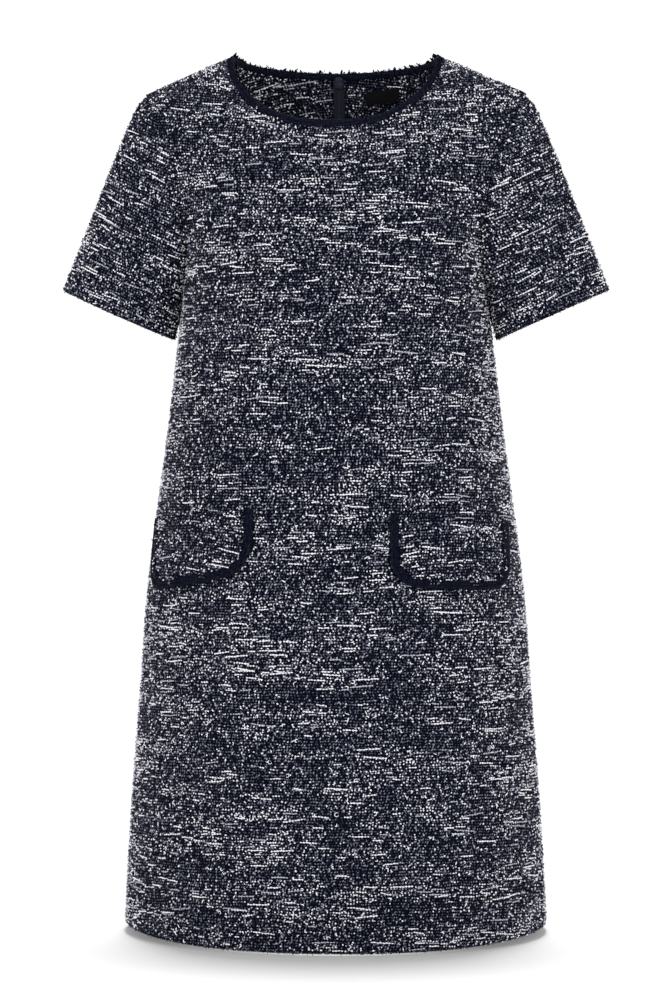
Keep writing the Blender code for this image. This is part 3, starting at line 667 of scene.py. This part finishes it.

# The sleeves: one short tube of the tweed each, set into the armhole, its weft level with its own hem. It is seamed
# under the arm, where a thick dark roll of the seam's loose yarn fills the chink beside the body as painted shade.
SLEEVE_LEAN, SLEEVE_RADIUS, SLEEVE_OUT, SLEEVE_FORWARD, SLEEVE_HEM = radians(24), 0.052, 0.2115, -0.006, -0.2515
SLEEVE_HEART, SLEEVE_HEM_BAND = (0.205, -0.003, -0.16), 0.02
# The underarm seam's dark roll, how thick it is and how far it lies in toward the body, fills the chink there with
# painted shade.
SEAM_HEAD, SEAM_STEP, SEAM_STOPS, SEAM_SHADE_THICK, SEAM_SHADE_INWARD = -0.196, 0.0036, 21, 3.4, 1.1


def sleeve_axes(side):
    """The middle of a sleeve's hem, the way up the sleeve, and the way across it out from the body."""
    foot = Vector((side * SLEEVE_OUT, SLEEVE_FORWARD, SLEEVE_HEM))
    up = Vector((-side * sin(SLEEVE_LEAN), 0.0, cos(SLEEVE_LEAN)))
    return foot, up, Vector((side * cos(SLEEVE_LEAN), 0.0, sin(SLEEVE_LEAN)))


def unroll(sheet, side, place):
    """Unrolls a tube from its underarm seam: a UV map in metres, round the arm and up it from the hem."""
    mesh = sheet.data
    layer = mesh.uv_layers.new(name="cloth")
    foot, up, out = sleeve_axes(side)
    for face in mesh.polygons:
        corners = [mesh.vertices[index].co - foot for index in face.vertices]
        turns = [atan2(-corner.y * side, corner.dot(out)) for corner in corners]
        if max(turns) - min(turns) > pi:
            turns = [turn + 2 * pi if turn < 0 else turn for turn in turns]
        for loop, corner, turn in zip(face.loop_indices, corners, turns):
            layer.uv[loop].vector = (turn * SLEEVE_RADIUS + place[0], corner.dot(up) + place[1])


def underarm_seam_shade_roll(sleeve, side, seed):
    """The underarm seam and its painted shade: a soft dark roll down the sleeve's innermost line, in the chink beside
    the body.
    """
    chance, line, loops = Random(seed), [], []
    for i in range(SEAM_STOPS):
        level = SEAM_HEAD - SEAM_STEP * i
        nearby = [vert for vert in sleeve.data.vertices if abs(vert.co.z - level) < SEAM_STEP]
        place = min(nearby, key=lambda vert: side * vert.co.x).co.copy()
        place.z = level
        full = min((SEAM_STOPS - 1 - i) / 4.0, i / 3.0, 1.0)
        line.append((place, SEAM_SHADE_THICK * full))
        for _ in range(5):
            root = place + Vector((-side * chance.uniform(0.8, 1.7) * full, chance.uniform(-1.8, 1.2),
                                   chance.uniform(-2.0, 2.0))) / TO_MM
            way = Vector((chance.gauss(0.0, 0.4), chance.gauss(0.0, 0.4), chance.gauss(0.0, 1.0)))
            # Mostly the darkest yarn: painted shade in the chink under the arm.
            tone = chance.choice((DARK, DARK, DARK, DULL, PALE))
            loops.append((tone, snippet(root, way, chance.uniform(1.1, 1.8))))
    middle = []
    for i, (_, thick) in enumerate(line):
        near = [place for place, _ in line[max(i - 2, 0):i + 3]]
        middle.append((sum(near, Vector()) / len(near) - Vector((side * SEAM_SHADE_INWARD / TO_MM, 0.0, 0.0)), thick))
    base = sleeve.name.removesuffix("_tweed")
    return yarn_piece(f"{base}_seam", [(DARK, middle), *loops], "boucle_tweed", yarn_tones)


sleeve_pieces, sleeve_hems = [], {}
for side, name, seed in ((1, "left", 31), (-1, "right", 32)):
    across, forward, level = SLEEVE_HEART
    sleeve = tweed_sheet(f"sleeve_{name}", Vector((side * across, forward, level)), iron_edges=False)
    unroll(sleeve, side, (8.0 + side, 1.0))
    sleeve_yarn = dress_in_slub(sleeve, seed)
    sleeve_yarn.append(underarm_seam_shade_roll(sleeve, side, seed))
    foot, up, _ = sleeve_axes(side)
    sleeve_hems[name] = edge_points(sleeve, lambda at: abs((at - foot).dot(up)) < SLEEVE_HEM_BAND)
    give_wall(sleeve, CLOTH_WALL)
    sleeve_pieces += [sleeve, *sleeve_yarn]

# The pocket flaps: mock flaps of the tweed, each cut in one piece with round lower corners, sewn on along the top and
# free below. The right one hangs a little lower at its side.
FLAP_WALL, TOP_EDGE_FACES_UP = 0.0018, 0.8
flaps, flap_edges = {}, {}
for side, name, flat_size, cut, seed in (
        (1, "left", (0.140, 0.072), 0.0088, 41), (-1, "right", (0.139, 0.084), 0.0086, 42)):
    low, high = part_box(f"flap_{name}")
    middle = (low + high) / 2
    flap = tweed_sheet(f"flap_{name}", Vector((0.0, 0.0, middle.z)))
    lay_flat(flap, Vector((middle.x, middle.y, low.z)), Vector((middle.x, middle.y, high.z)), (12.0 + side, 1.0))
    flap_edges[name] = [stop for stop in edge_points(flap) if stop[2].normalized().z < TOP_EDGE_FACES_UP]
    flap_yarn = dress_in_slub(flap, seed, wanted=clear_of(flap_edges[name], UNDER_BINDING))
    give_wall(flap, FLAP_WALL)
    flaps[name] = flap

# The hem: each panel's lower edge is turned up inside and caught down with slip stitches. A few ends of the yarn
# stick out of the fold.
HEM_DEPTH, SLEEVE_HEM_DEPTH, FOLD, EVENING, STOPS_APART = 32.0, 20.0, 3.0, 3, 0.002
SLIP_STITCHES, FOLD_NUBS, LOOSE_ENDS = 0.28, 0.75, 0.30
INSIDE_PAST, INSIDE_ABOVE, ENDS_TOUCH, ENDS_STAND_OFF = -4.0, -1.5, 0.03, 0.46


def in_order(stops, turn_of, least=STOPS_APART):
    """The stops in the order of a turn of their places, without those nearer than this to the one before."""
    stops = sorted(stops, key=lambda stop: turn_of(stop[0]))
    kept = stops[:1]
    for stop in stops[1:]:
        if (stop[0] - kept[-1][0]).length >= least:
            kept.append(stop)
    return kept


def along_edge(stops, closed=False):
    """Each stop of an edge as its place, the way on along it, the way beyond it and the way out of the cloth.

    The line and the ways out are evened first, so that a strip laid along them is smooth.
    """
    count = len(stops)

    def neighbours(i):
        return ((i - 1) % count, (i + 1) % count) if closed else (max(i - 1, 0), min(i + 1, count - 1))

    places, normals = [stop[0] for stop in stops], [stop[1] for stop in stops]
    for _ in range(EVENING):
        for row in (places, normals):
            evened = []
            for i, here in enumerate(row):
                before, after = neighbours(i)
                evened.append(here if before == i or after == i else (row[before] + row[after]) / 4 + here / 2)
            row[:] = evened
    found, side = [], 0.0
    for i, (place, normal) in enumerate(zip(places, normals)):
        before, after = neighbours(i)
        onward = (places[after] - places[before]).normalized()
        beyond = onward.cross(normal).normalized()
        side += beyond.dot(stops[i][2])
        found.append((place, onward, beyond, normal.normalized()))
    if side < 0:
        found = [(place, onward, -beyond, normal) for place, onward, beyond, normal in found]
    return found + found[:1] if closed else found


def strides(start, end, chance, least, most):
    """Places from a start toward an end, a random stride apart."""
    gap, gone = (end - start).length, 0.0
    while gone < gap:
        yield start.lerp(end, gone / gap)
        gone += chance.uniform(least, most)


def bound_edge(name, stops, section, material, slot, *nodes, meeting=0.0, lift=lambda at: 0.0, width=lambda at: 1.0):
    """A folded strip laid along an edge: its section is in millimetres beyond the edge and above the cloth.

    Where its ends are to meet, they close down to a depth, and stand off the centre below. A lift carries its outer
    face beyond, and the width of that face may change along the edge.
    """
    rows = []
    for place, _, beyond, normal in stops:
        row = []
        for past, above in section + section[:1]:
            if past < 0.0 < above:
                past *= width(place)
            if past > INSIDE_PAST or above > INSIDE_ABOVE:
                past += lift(place)
            row.append(place + (beyond * past + normal * above) / TO_MM)
        rows.append(row)
    if meeting:
        for row in (rows[0], rows[-1]):
            top = max(point.z for point in row)
            for point in row:
                point.x *= ENDS_TOUCH if top - point.z < meeting else ENDS_STAND_OFF
    bm = bmesh.new()
    bmesh.ops.create_grid(bm, x_segments=len(section), y_segments=len(rows) - 1, size=0.5)
    bm.verts.ensure_lookup_table()
    strip_map = bm.loops.layers.uv.new("cloth")
    wide = len(section) + 1
    lengths = np.cumsum([0.0] + [(b[0] - a[0]).length for a, b in zip(rows, rows[1:])])
    girth = np.cumsum([0.0] + [(b - a).length for a, b in zip(rows[0], rows[0][1:])])
    for face in bm.faces:
        for loop in face.loops:
            row, column = divmod(loop.vert.index, wide)
            loop[strip_map].uv = (lengths[row], girth[column])
    for vert in bm.verts:
        row, column = divmod(vert.index, wide)
        vert.co = rows[row][column]
    bmesh.ops.remove_doubles(bm, verts=bm.verts, dist=1e-7)
    bmesh.ops.holes_fill(bm, edges=[edge for edge in bm.edges if edge.is_boundary])
    bmesh.ops.recalc_face_normals(bm, faces=bm.faces)
    return belongs(keep(name, bm, material), slot, *nodes)


def turn_up(name, stops, depth, seed, closed=False):
    """A turned-up hem along an edge, its slip stitches, and the yarn ends and nubs that stand out of the fold."""
    section = [
        (-1.2, 0.2), (0.2, 0.15), (1.0, -0.5), (1.35, -1.8), (1.1, -3.1), (0.2, -3.9), (-3.0, -4.2), (-depth / 2, -4.1),
        (-depth, -3.9), (-depth - 0.5, -3.2), (-depth, -2.5), (-depth / 2, -2.45), (-3.0, -2.45), (-0.1, -2.3),
        (0.1, -1.2), (0.02, 0.0)]
    framed = along_edge(stops, closed)
    hem = bound_edge(name, framed, section, outer_tweed, "boucle_tweed")
    chance, strokes, hem_long = Random(seed), [], 0.0
    for (place, onward, beyond, normal), (after, *_) in zip(framed, framed[1:]):
        hem_long += (after - place).length
        for here in strides(place, after, chance, 0.0011, 0.0021):
            inner = here + (normal * -3.9 - beyond * (depth - 1.2)) / TO_MM
            if chance.random() < SLIP_STITCHES:
                strokes.append((DARK, stroke(
                    inner, (Vector(), 0.35), (normal * -0.5 - beyond * 1.2 + onward * 0.9, 0.45),
                    (normal * 1.2 - beyond * 3.2 + onward * 1.8, 0.3))))
            root = here + (beyond * chance.uniform(0.3, 1.2) + normal * chance.uniform(-3.6, 0.1)) / TO_MM
            if chance.random() < FOLD_NUBS:
                thick = chance.uniform(0.8, 1.7)
                way = onward * chance.gauss(0.0, 1.0) + beyond * chance.uniform(-0.2, 0.9)
                tone = chance.choice((DARK, DARK, DARK, PALE, DULL, IVORY))
                strokes.append((tone, snippet(root, way, thick, beyond * 0.15)))
            if chance.random() < LOOSE_ENDS:
                way = beyond + onward * chance.gauss(0.0, 0.7) + normal * chance.gauss(0.0, 0.3)
                long_by = chance.uniform(0.8, 2.6)
                strokes.append((DARK, stroke(
                    root, (Vector(), 0.55), (way * long_by * 0.6, 0.45),
                    (way * long_by + onward * chance.gauss(0.0, 0.4), 0.0))))
    ends = yarn_piece(f"{name}_yarn", strokes, "boucle_tweed", yarn_tones)
    return [hem, ends]


turn_up("front_hem", in_order(front_hem, lambda at: atan2(at.x, -at.y)), HEM_DEPTH, 51)
for name, stops in back_hems.items():
    turn_up(f"back_{name}_hem", in_order(stops, lambda at: atan2(at.x, at.y)), HEM_DEPTH, 52)
for side, name in ((1, "left"), (-1, "right")):
    foot, _, out = sleeve_axes(side)
    stops = in_order(sleeve_hems[name], lambda at: atan2(at.y - foot.y, (at - foot).dot(out)))
    sleeve_pieces += turn_up(f"sleeve_{name}_hem", stops, SLEEVE_HEM_DEPTH, 54, closed=True)
flagged_off = bpy.data.collections.new("sleeves_flagged_off_the_floor_lamp")
floor_lamp.light_linking.blocker_collection = flagged_off
for piece in sleeve_pieces:
    flagged_off.objects.link(piece)
for entry in flagged_off.collection_objects:
    entry.light_linking.link_state = "EXCLUDE"

# The neck binding: a strip of smooth navy wool braid folded over the neckline and sewn through, open at the zip.
# Its section goes up the inside, round the fold and down the outside, then back along the cloth. Its fold has frayed.
MEETING_DEPTH = 0.0042
CENTRE_LIFT, CENTRE_LIFT_HALF_WIDTH, STAYS_PUT = 4.6, 0.062, -7.0
NARROW_FROM, NARROW_OVER, NARROW_BY = 0.078, 0.018, 0.5
NECK_SECTION = [
    (-5.3, -2.35), (-5.5, -2.8), (-4.9, -3.25), (-2.0, -3.45), (0.1, -3.1), (0.7, -1.9), (0.75, -0.4), (0.3, 0.85),
    (-1.9, 1.35), (-5.4, 1.3), (-7.6, 0.95), (-8.0, 0.4), (-7.7, 0.1), (-3.0, 0.12), (0.05, 0.1), (0.15, -1.1),
    (0.05, -2.3), (-3.0, -2.32),
]


def braid(name, colour, lighter):
    """Matt navy wool braid: fine ribs along the strip and a little fluff."""
    material = principled(name, colour, 0.9, Sheen_Weight=0.02, Specular_IOR_Level=0.03)
    place, along, round_it = flat_place(material)
    ribs = (along * 5.2 + place.noise(0.5) * 3.0).wave()
    lengthwise = (round_it * 6.0 + along * 0.8).wave()
    fluff, mottle = place.noise(1.6, 2.0, 0.7), place.noise(0.42, 2.0, 0.6).rise(0.35, 0.68)
    share = mottle * (0.35 + ribs * 0.25 + lengthwise * 0.2 + fluff * 0.6)
    share.blend(colour, lighter).feed("Base Color")
    (ribs * 0.5 + lengthwise * 0.4 + fluff).emboss(0.6, 0.0003)
    return material


def centre_lift(place):
    """How much higher the band stands at the centre front, in millimetres."""
    share = max(1.0 - abs(place.x) / CENTRE_LIFT_HALF_WIDTH, 0.0) if place.y < 0 else 0.0
    return CENTRE_LIFT * share * share * (3.0 - 2.0 * share)


def frayed(name, framed, seed, rims, lift=lambda at: 0.0, width=lambda at: 1.0):
    """Short loose ends of navy wool along a strip: thick curled ones in tufts, and fine fibres between.

    A rim is how far past the edge and above the cloth it lies, how deep it goes, which way its ends point, and how far.
    """
    chance, strokes = Random(seed), []
    for (place, onward, beyond, normal), (after, *_) in zip(framed, framed[1:]):
        for past, above, depth, sense, reach_of in rims:
            reach = reach_of(place)
            past = past * (width(place) if past < 0.0 else 1.0) + (lift(place) if past > STAYS_PUT else 0.0)
            for here in strides(place, after, chance, 0.0008, 0.0016) if reach > 0.0 else ():
                tuft = min(max(0.65 + 1.5 * noise.noise(here * 190.0), 0.4), 1.35)
                across = beyond * (past + chance.uniform(-0.7, 0.2))
                root = here + (across + normal * (above - depth * chance.random())) / TO_MM
                way = beyond * sense + onward * chance.gauss(0.0, 0.5) + normal * chance.gauss(0.0, 0.25)
                long_by = reach * tuft * chance.uniform(0.6, 1.2)
                thick = chance.uniform(0.3, 0.5) if chance.random() < 0.3 else chance.uniform(0.5, 0.9) * reach ** 0.7
                bend = onward * chance.gauss(0.0, 0.5)
                strokes.append((0, stroke(
                    root, (Vector(), thick), (way * long_by * 0.5, thick),
                    (way * long_by * 0.85 + bend * 0.5, thick * 0.75), (way * long_by + bend, 0.0))))
    return yarn_piece(name, strokes, "navy_binding", [yarn_tones[DARK]])


def narrower(place):
    """The strip's outer face is drawn in toward the neck points."""
    return 1.0 - NARROW_BY * min(max((abs(place.x) - NARROW_FROM) / NARROW_OVER, 0.0), 1.0)


neck_braid = braid("navy_wool_braid", (0.0008, 0.0011, 0.0038), (0.0105, 0.0125, 0.0250))
neck_line = along_edge(in_order(front_neck + back_necks, lambda at: atan2(at.x, -at.y), 0.0022))
neck_binding = bound_edge(
    "neck_binding_braid", neck_line, NECK_SECTION, neck_braid, "navy_binding", "neck_binding", meeting=MEETING_DEPTH,
    lift=centre_lift, width=narrower)
NECK_RIMS = (
    (0.2, 0.6, 3.5, 1, lambda place: 3.6 if place.y > -0.004 else 1.5),
    *((past, above, 0.4, sense, lambda place: 1.5 if place.y < 0.0 else 0.0)
      for past, above, sense in ((-1.6, 1.4, 1), (-3.4, 1.5, -1), (-5.2, 1.5, 1), (-7.6, 1.1, -1))))
neck_fray = frayed("neck_binding_fray", neck_line, 61, NECK_RIMS, centre_lift, narrower)

# The flap bindings: the same wool braid folded over the two sides and the bottom of each flap and sewn through, where
# it stands slightly proud.
FLAP_SECTION = [
    (-5.4, -1.9), (-5.4, -2.3), (-2.0, -2.5), (0.5, -2.2), (1.3, -1.3), (1.3, -0.3), (0.6, 0.7), (-1.6, 1.05),
    (-4.4, 1.0), (-6.2, 0.8), (-6.6, 0.35), (-6.3, 0.08), (-3.0, 0.1), (0.1, 0.1), (0.2, -0.9), (0.1, -1.85),
]
WIDE_FROM, WIDE_OVER, WIDE_BY = 0.016, 0.012, 1.1
FLAP_RIMS = (
    (0.9, 0.6, 2.6, 1, lambda place: 1.6),
    *((past, above, depth, sense, lambda place: 1.4) for past, above, depth, sense in (
        (-0.9, 1.1, 0.4, -1), (-2.7, 1.2, 0.4, 1), (-4.4, 1.2, 0.4, -1), (-6.2, 0.9, 0.5, -1))))
for name, flap in flaps.items():
    low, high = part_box(f"flap_{name}")
    middle, side_edge = (low + high) / 2, max(abs(low.x), abs(high.x))
    side_way = Vector((middle.y, -middle.x, 0)).normalized()
    flap_line = along_edge(in_order(
        flap_edges[name], lambda at: atan2((at - middle).dot(side_way), middle.z - at.z), 0.0012))

    def wider(place):
        """The flap's outer side lies round the hip, so that more of the strip is turned to the front there."""
        return 1.0 + WIDE_BY * min(max((abs(place.x) - side_edge + WIDE_FROM) / WIDE_OVER, 0.0), 1.0)

    binding = bound_edge(
        f"flap_binding_{name}_braid", flap_line, FLAP_SECTION, neck_braid, "navy_binding", f"flap_binding_{name}",
        width=wider)
    fray = frayed(f"flap_binding_{name}_fray", flap_line, 62, FLAP_RIMS, width=wider)

# The zip: two woven tapes sewn inside the centre back, and between them two nylon coils that lock into each other.
# Each coil is a spiral of one round thread, and a row of stitches holds it to its tape.
ZIP_FOOT, COIL_HEAD, COIL_FOOT = -0.5353, -0.0277, -0.3754
TAPE_HEAD, TAPE_STEP, TAPE_STOPS = -0.0206, 0.0051, 101
TAPE_SECTION = [
    (0.08, -2.5), (0.08, -3.2), (1.8, -3.28), (2.3, -3.2), (4.2, -3.2), (4.9, -3.3), (5.35, -3.2), (5.35, -2.5),
    (3.2, -2.45),
]
STITCH_HEAD, STITCH_LONG, STITCH_PITCH, STITCHES = -0.024, 0.0016, 0.00255, 200
COIL_PITCH, COIL_STEPS, COIL_REACH, COIL_RISE, COIL_MIDDLE, COIL_THREAD = 1.05, 6, 0.95, 0.5, -4.15, 0.55
zip_line = sorted(
    ((Vector((0.0, at.y, at.z)), Vector((0.0, normal.y, normal.z)).normalized()) for at, normal, _ in zip_edge),
    key=lambda stop: -stop[0].z)


def zip_place(level):
    """Where the centre back is at a level, and the way out of it."""
    for (above, out_above), (below, out_below) in zip(zip_line, zip_line[1:]):
        if above.z >= level > below.z:
            share = (above.z - level) / (above.z - below.z)
            return above.lerp(below, share), out_above.lerp(out_below, share).normalized()
    return zip_line[-1]


tape_weave = principled("navy_woven_tape", (0.010, 0.012, 0.022), 0.8, Specular_IOR_Level=0.2)
place, along, round_it = flat_place(tape_weave)
twill = (along * 5.5 + abs(round_it - 3.4) * 4.5).wave()
(twill * 0.8 + place.noise(1.5) * 0.2).blend((0.006, 0.0075, 0.0145), (0.018, 0.021, 0.036)).feed("Base Color")
twill.emboss(0.5, 0.0003)
coil_nylon = principled("navy_nylon_coil", (0.012, 0.0145, 0.028), 0.42)

tape_levels = [TAPE_HEAD - TAPE_STEP * i for i in range(TAPE_STOPS)] + [ZIP_FOOT]
for side, name in ((1, "left"), (-1, "right")):
    stops = [(*zip_place(level), Vector((side, 0, 0))) for level in tape_levels]
    bound_edge(f"zip_tape_{name}_weave", along_edge(stops), TAPE_SECTION, tape_weave, "zip_tape_navy",
               f"zip_tape_{name}")
    chance, stitches = Random(70 + side), []
    for i in range(STITCHES):
        start, way_out = zip_place(STITCH_HEAD - STITCH_PITCH * i)
        end, _ = zip_place(STITCH_HEAD - STITCH_LONG - STITCH_PITCH * i)
        shift = Vector((side * (4.45 + chance.uniform(-0.1, 0.1)) / TO_MM, 0.0, 0.0)) - way_out * 3.34 / TO_MM
        inward = shift + way_out * 0.2 / TO_MM
        stitches.append((0, [(start + inward, 0.1), (start.lerp(end, 0.5) + shift, 0.38), (end + inward, 0.1)]))
    yarn_piece(f"zip_tape_{name}_stitches", stitches, "zip_tape_navy", [yarn_tones[DARK]])

coils = []
turns = int((COIL_HEAD - COIL_FOOT) * TO_MM / COIL_PITCH)
for side in (1, -1):
    line = []
    for i in range(turns * COIL_STEPS + 1):
        turn = 2 * pi * i / COIL_STEPS
        middle, way_out = zip_place(COIL_HEAD - (i / COIL_STEPS + 0.25 * side) * COIL_PITCH / TO_MM)
        reach = side * (0.52 - COIL_REACH * cos(turn))
        lift = COIL_MIDDLE + COIL_RISE * sin(turn)
        line.append((middle + Vector((reach / TO_MM, 0.0, 0.0)) + way_out * lift / TO_MM, COIL_THREAD))
    coils.append((0, line))
yarn_piece("zip_coil_turns", coils, "zip_coil_navy", [coil_nylon], "zip_coil")

# The slider and its pull: cast metal under a baked navy enamel, which has worn to bare metal in small chips. The pull
# is a bar bent through the slider's eye, and swings there.
BARE_METAL = (0.42, 0.42, 0.43)
enamel = principled("navy_enamel_on_metal", (0.016, 0.019, 0.036), 0.35, Coat_Roughness=0.15)
spot = Strand(enamel.node_tree.nodes.new("ShaderNodeTexCoord").outputs["Object"])
coarse, fine = spot.noise(260.0, 3.0, 0.6), spot.noise(1400.0, 2.0, 0.6)
chip = (coarse + fine * 0.18).rise(0.735, 0.75)
mottle = coarse.blend((0.013, 0.0155, 0.030), (0.021, 0.025, 0.045))
chip.blend(mottle, BARE_METAL).feed("Base Color")
chip.feed("Metallic")
(0.28 + fine * 0.22).feed("Roughness")
((1.0 - chip) * 0.4).feed("Coat Weight")
(fine - chip * 0.8).emboss(0.25, 0.0001)
for node in ("zip_slider", "zip_pull"):
    for material_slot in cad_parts[node].material_slots:
        material_slot.material = enamel

# The label: a bare piece of black satin ribbon with its ends folded under. It is caught down all round with small
# stitches, inside the back neck.
LABEL_WALL, LABEL_STITCH = 0.0005, 0.7
LABEL_HEART, LABEL_MIDDLE = Vector((0.05, 0.3, -0.04)), Vector((0.0436, 0.0, -0.0365))
LABEL_UPRIGHT = Vector((0.043, 0.066, -0.044)), Vector((0.043, 0.06, -0.03))
satin = principled("black_satin_ribbon", (0.004, 0.004, 0.005), 0.5, Specular_IOR_Level=0.12)
place, along, up = flat_place(satin)
weave = (along * 9.0 + (up * 7.0).sum("SINE") * 1.4).wave()
selvage = abs(place.point(along / 9.0, up / 40.0).noise(1.0) - 0.5) * 0.6
(weave * 0.6 + selvage).blend((0.0030, 0.0030, 0.0038), (0.0085, 0.0085, 0.0098)).feed("Base Color")
(0.38 + weave * 0.2).feed("Roughness")
weave.emboss(0.3, 0.0002)
label = belongs(keep("label_satin", finer(outer_sheet("label", LABEL_HEART)), satin), "black_satin", "label")
lay_flat(label, *LABEL_UPRIGHT, (15.0, 1.0))
label_edge = along_edge(in_order(
    edge_points(label), lambda at: atan2(at.z - LABEL_MIDDLE.z, at.x - LABEL_MIDDLE.x), 0.0008), True)
give_wall(label, LABEL_WALL)
stitches = []
for at, onward, beyond, normal in label_edge[::2]:
    half, under = onward * LABEL_STITCH, normal * 0.1
    stitches.append((0, stroke(
        at - beyond * 0.9 / TO_MM, (-half - under, 0.1), (normal * 0.12, 0.3), (half - under, 0.1))))
label_stitches = yarn_piece("label_stitches", stitches, "black_satin", [yarn_tones[DARK]])

[[list(corner) for corner in box] for box in (packed_box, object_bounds())]
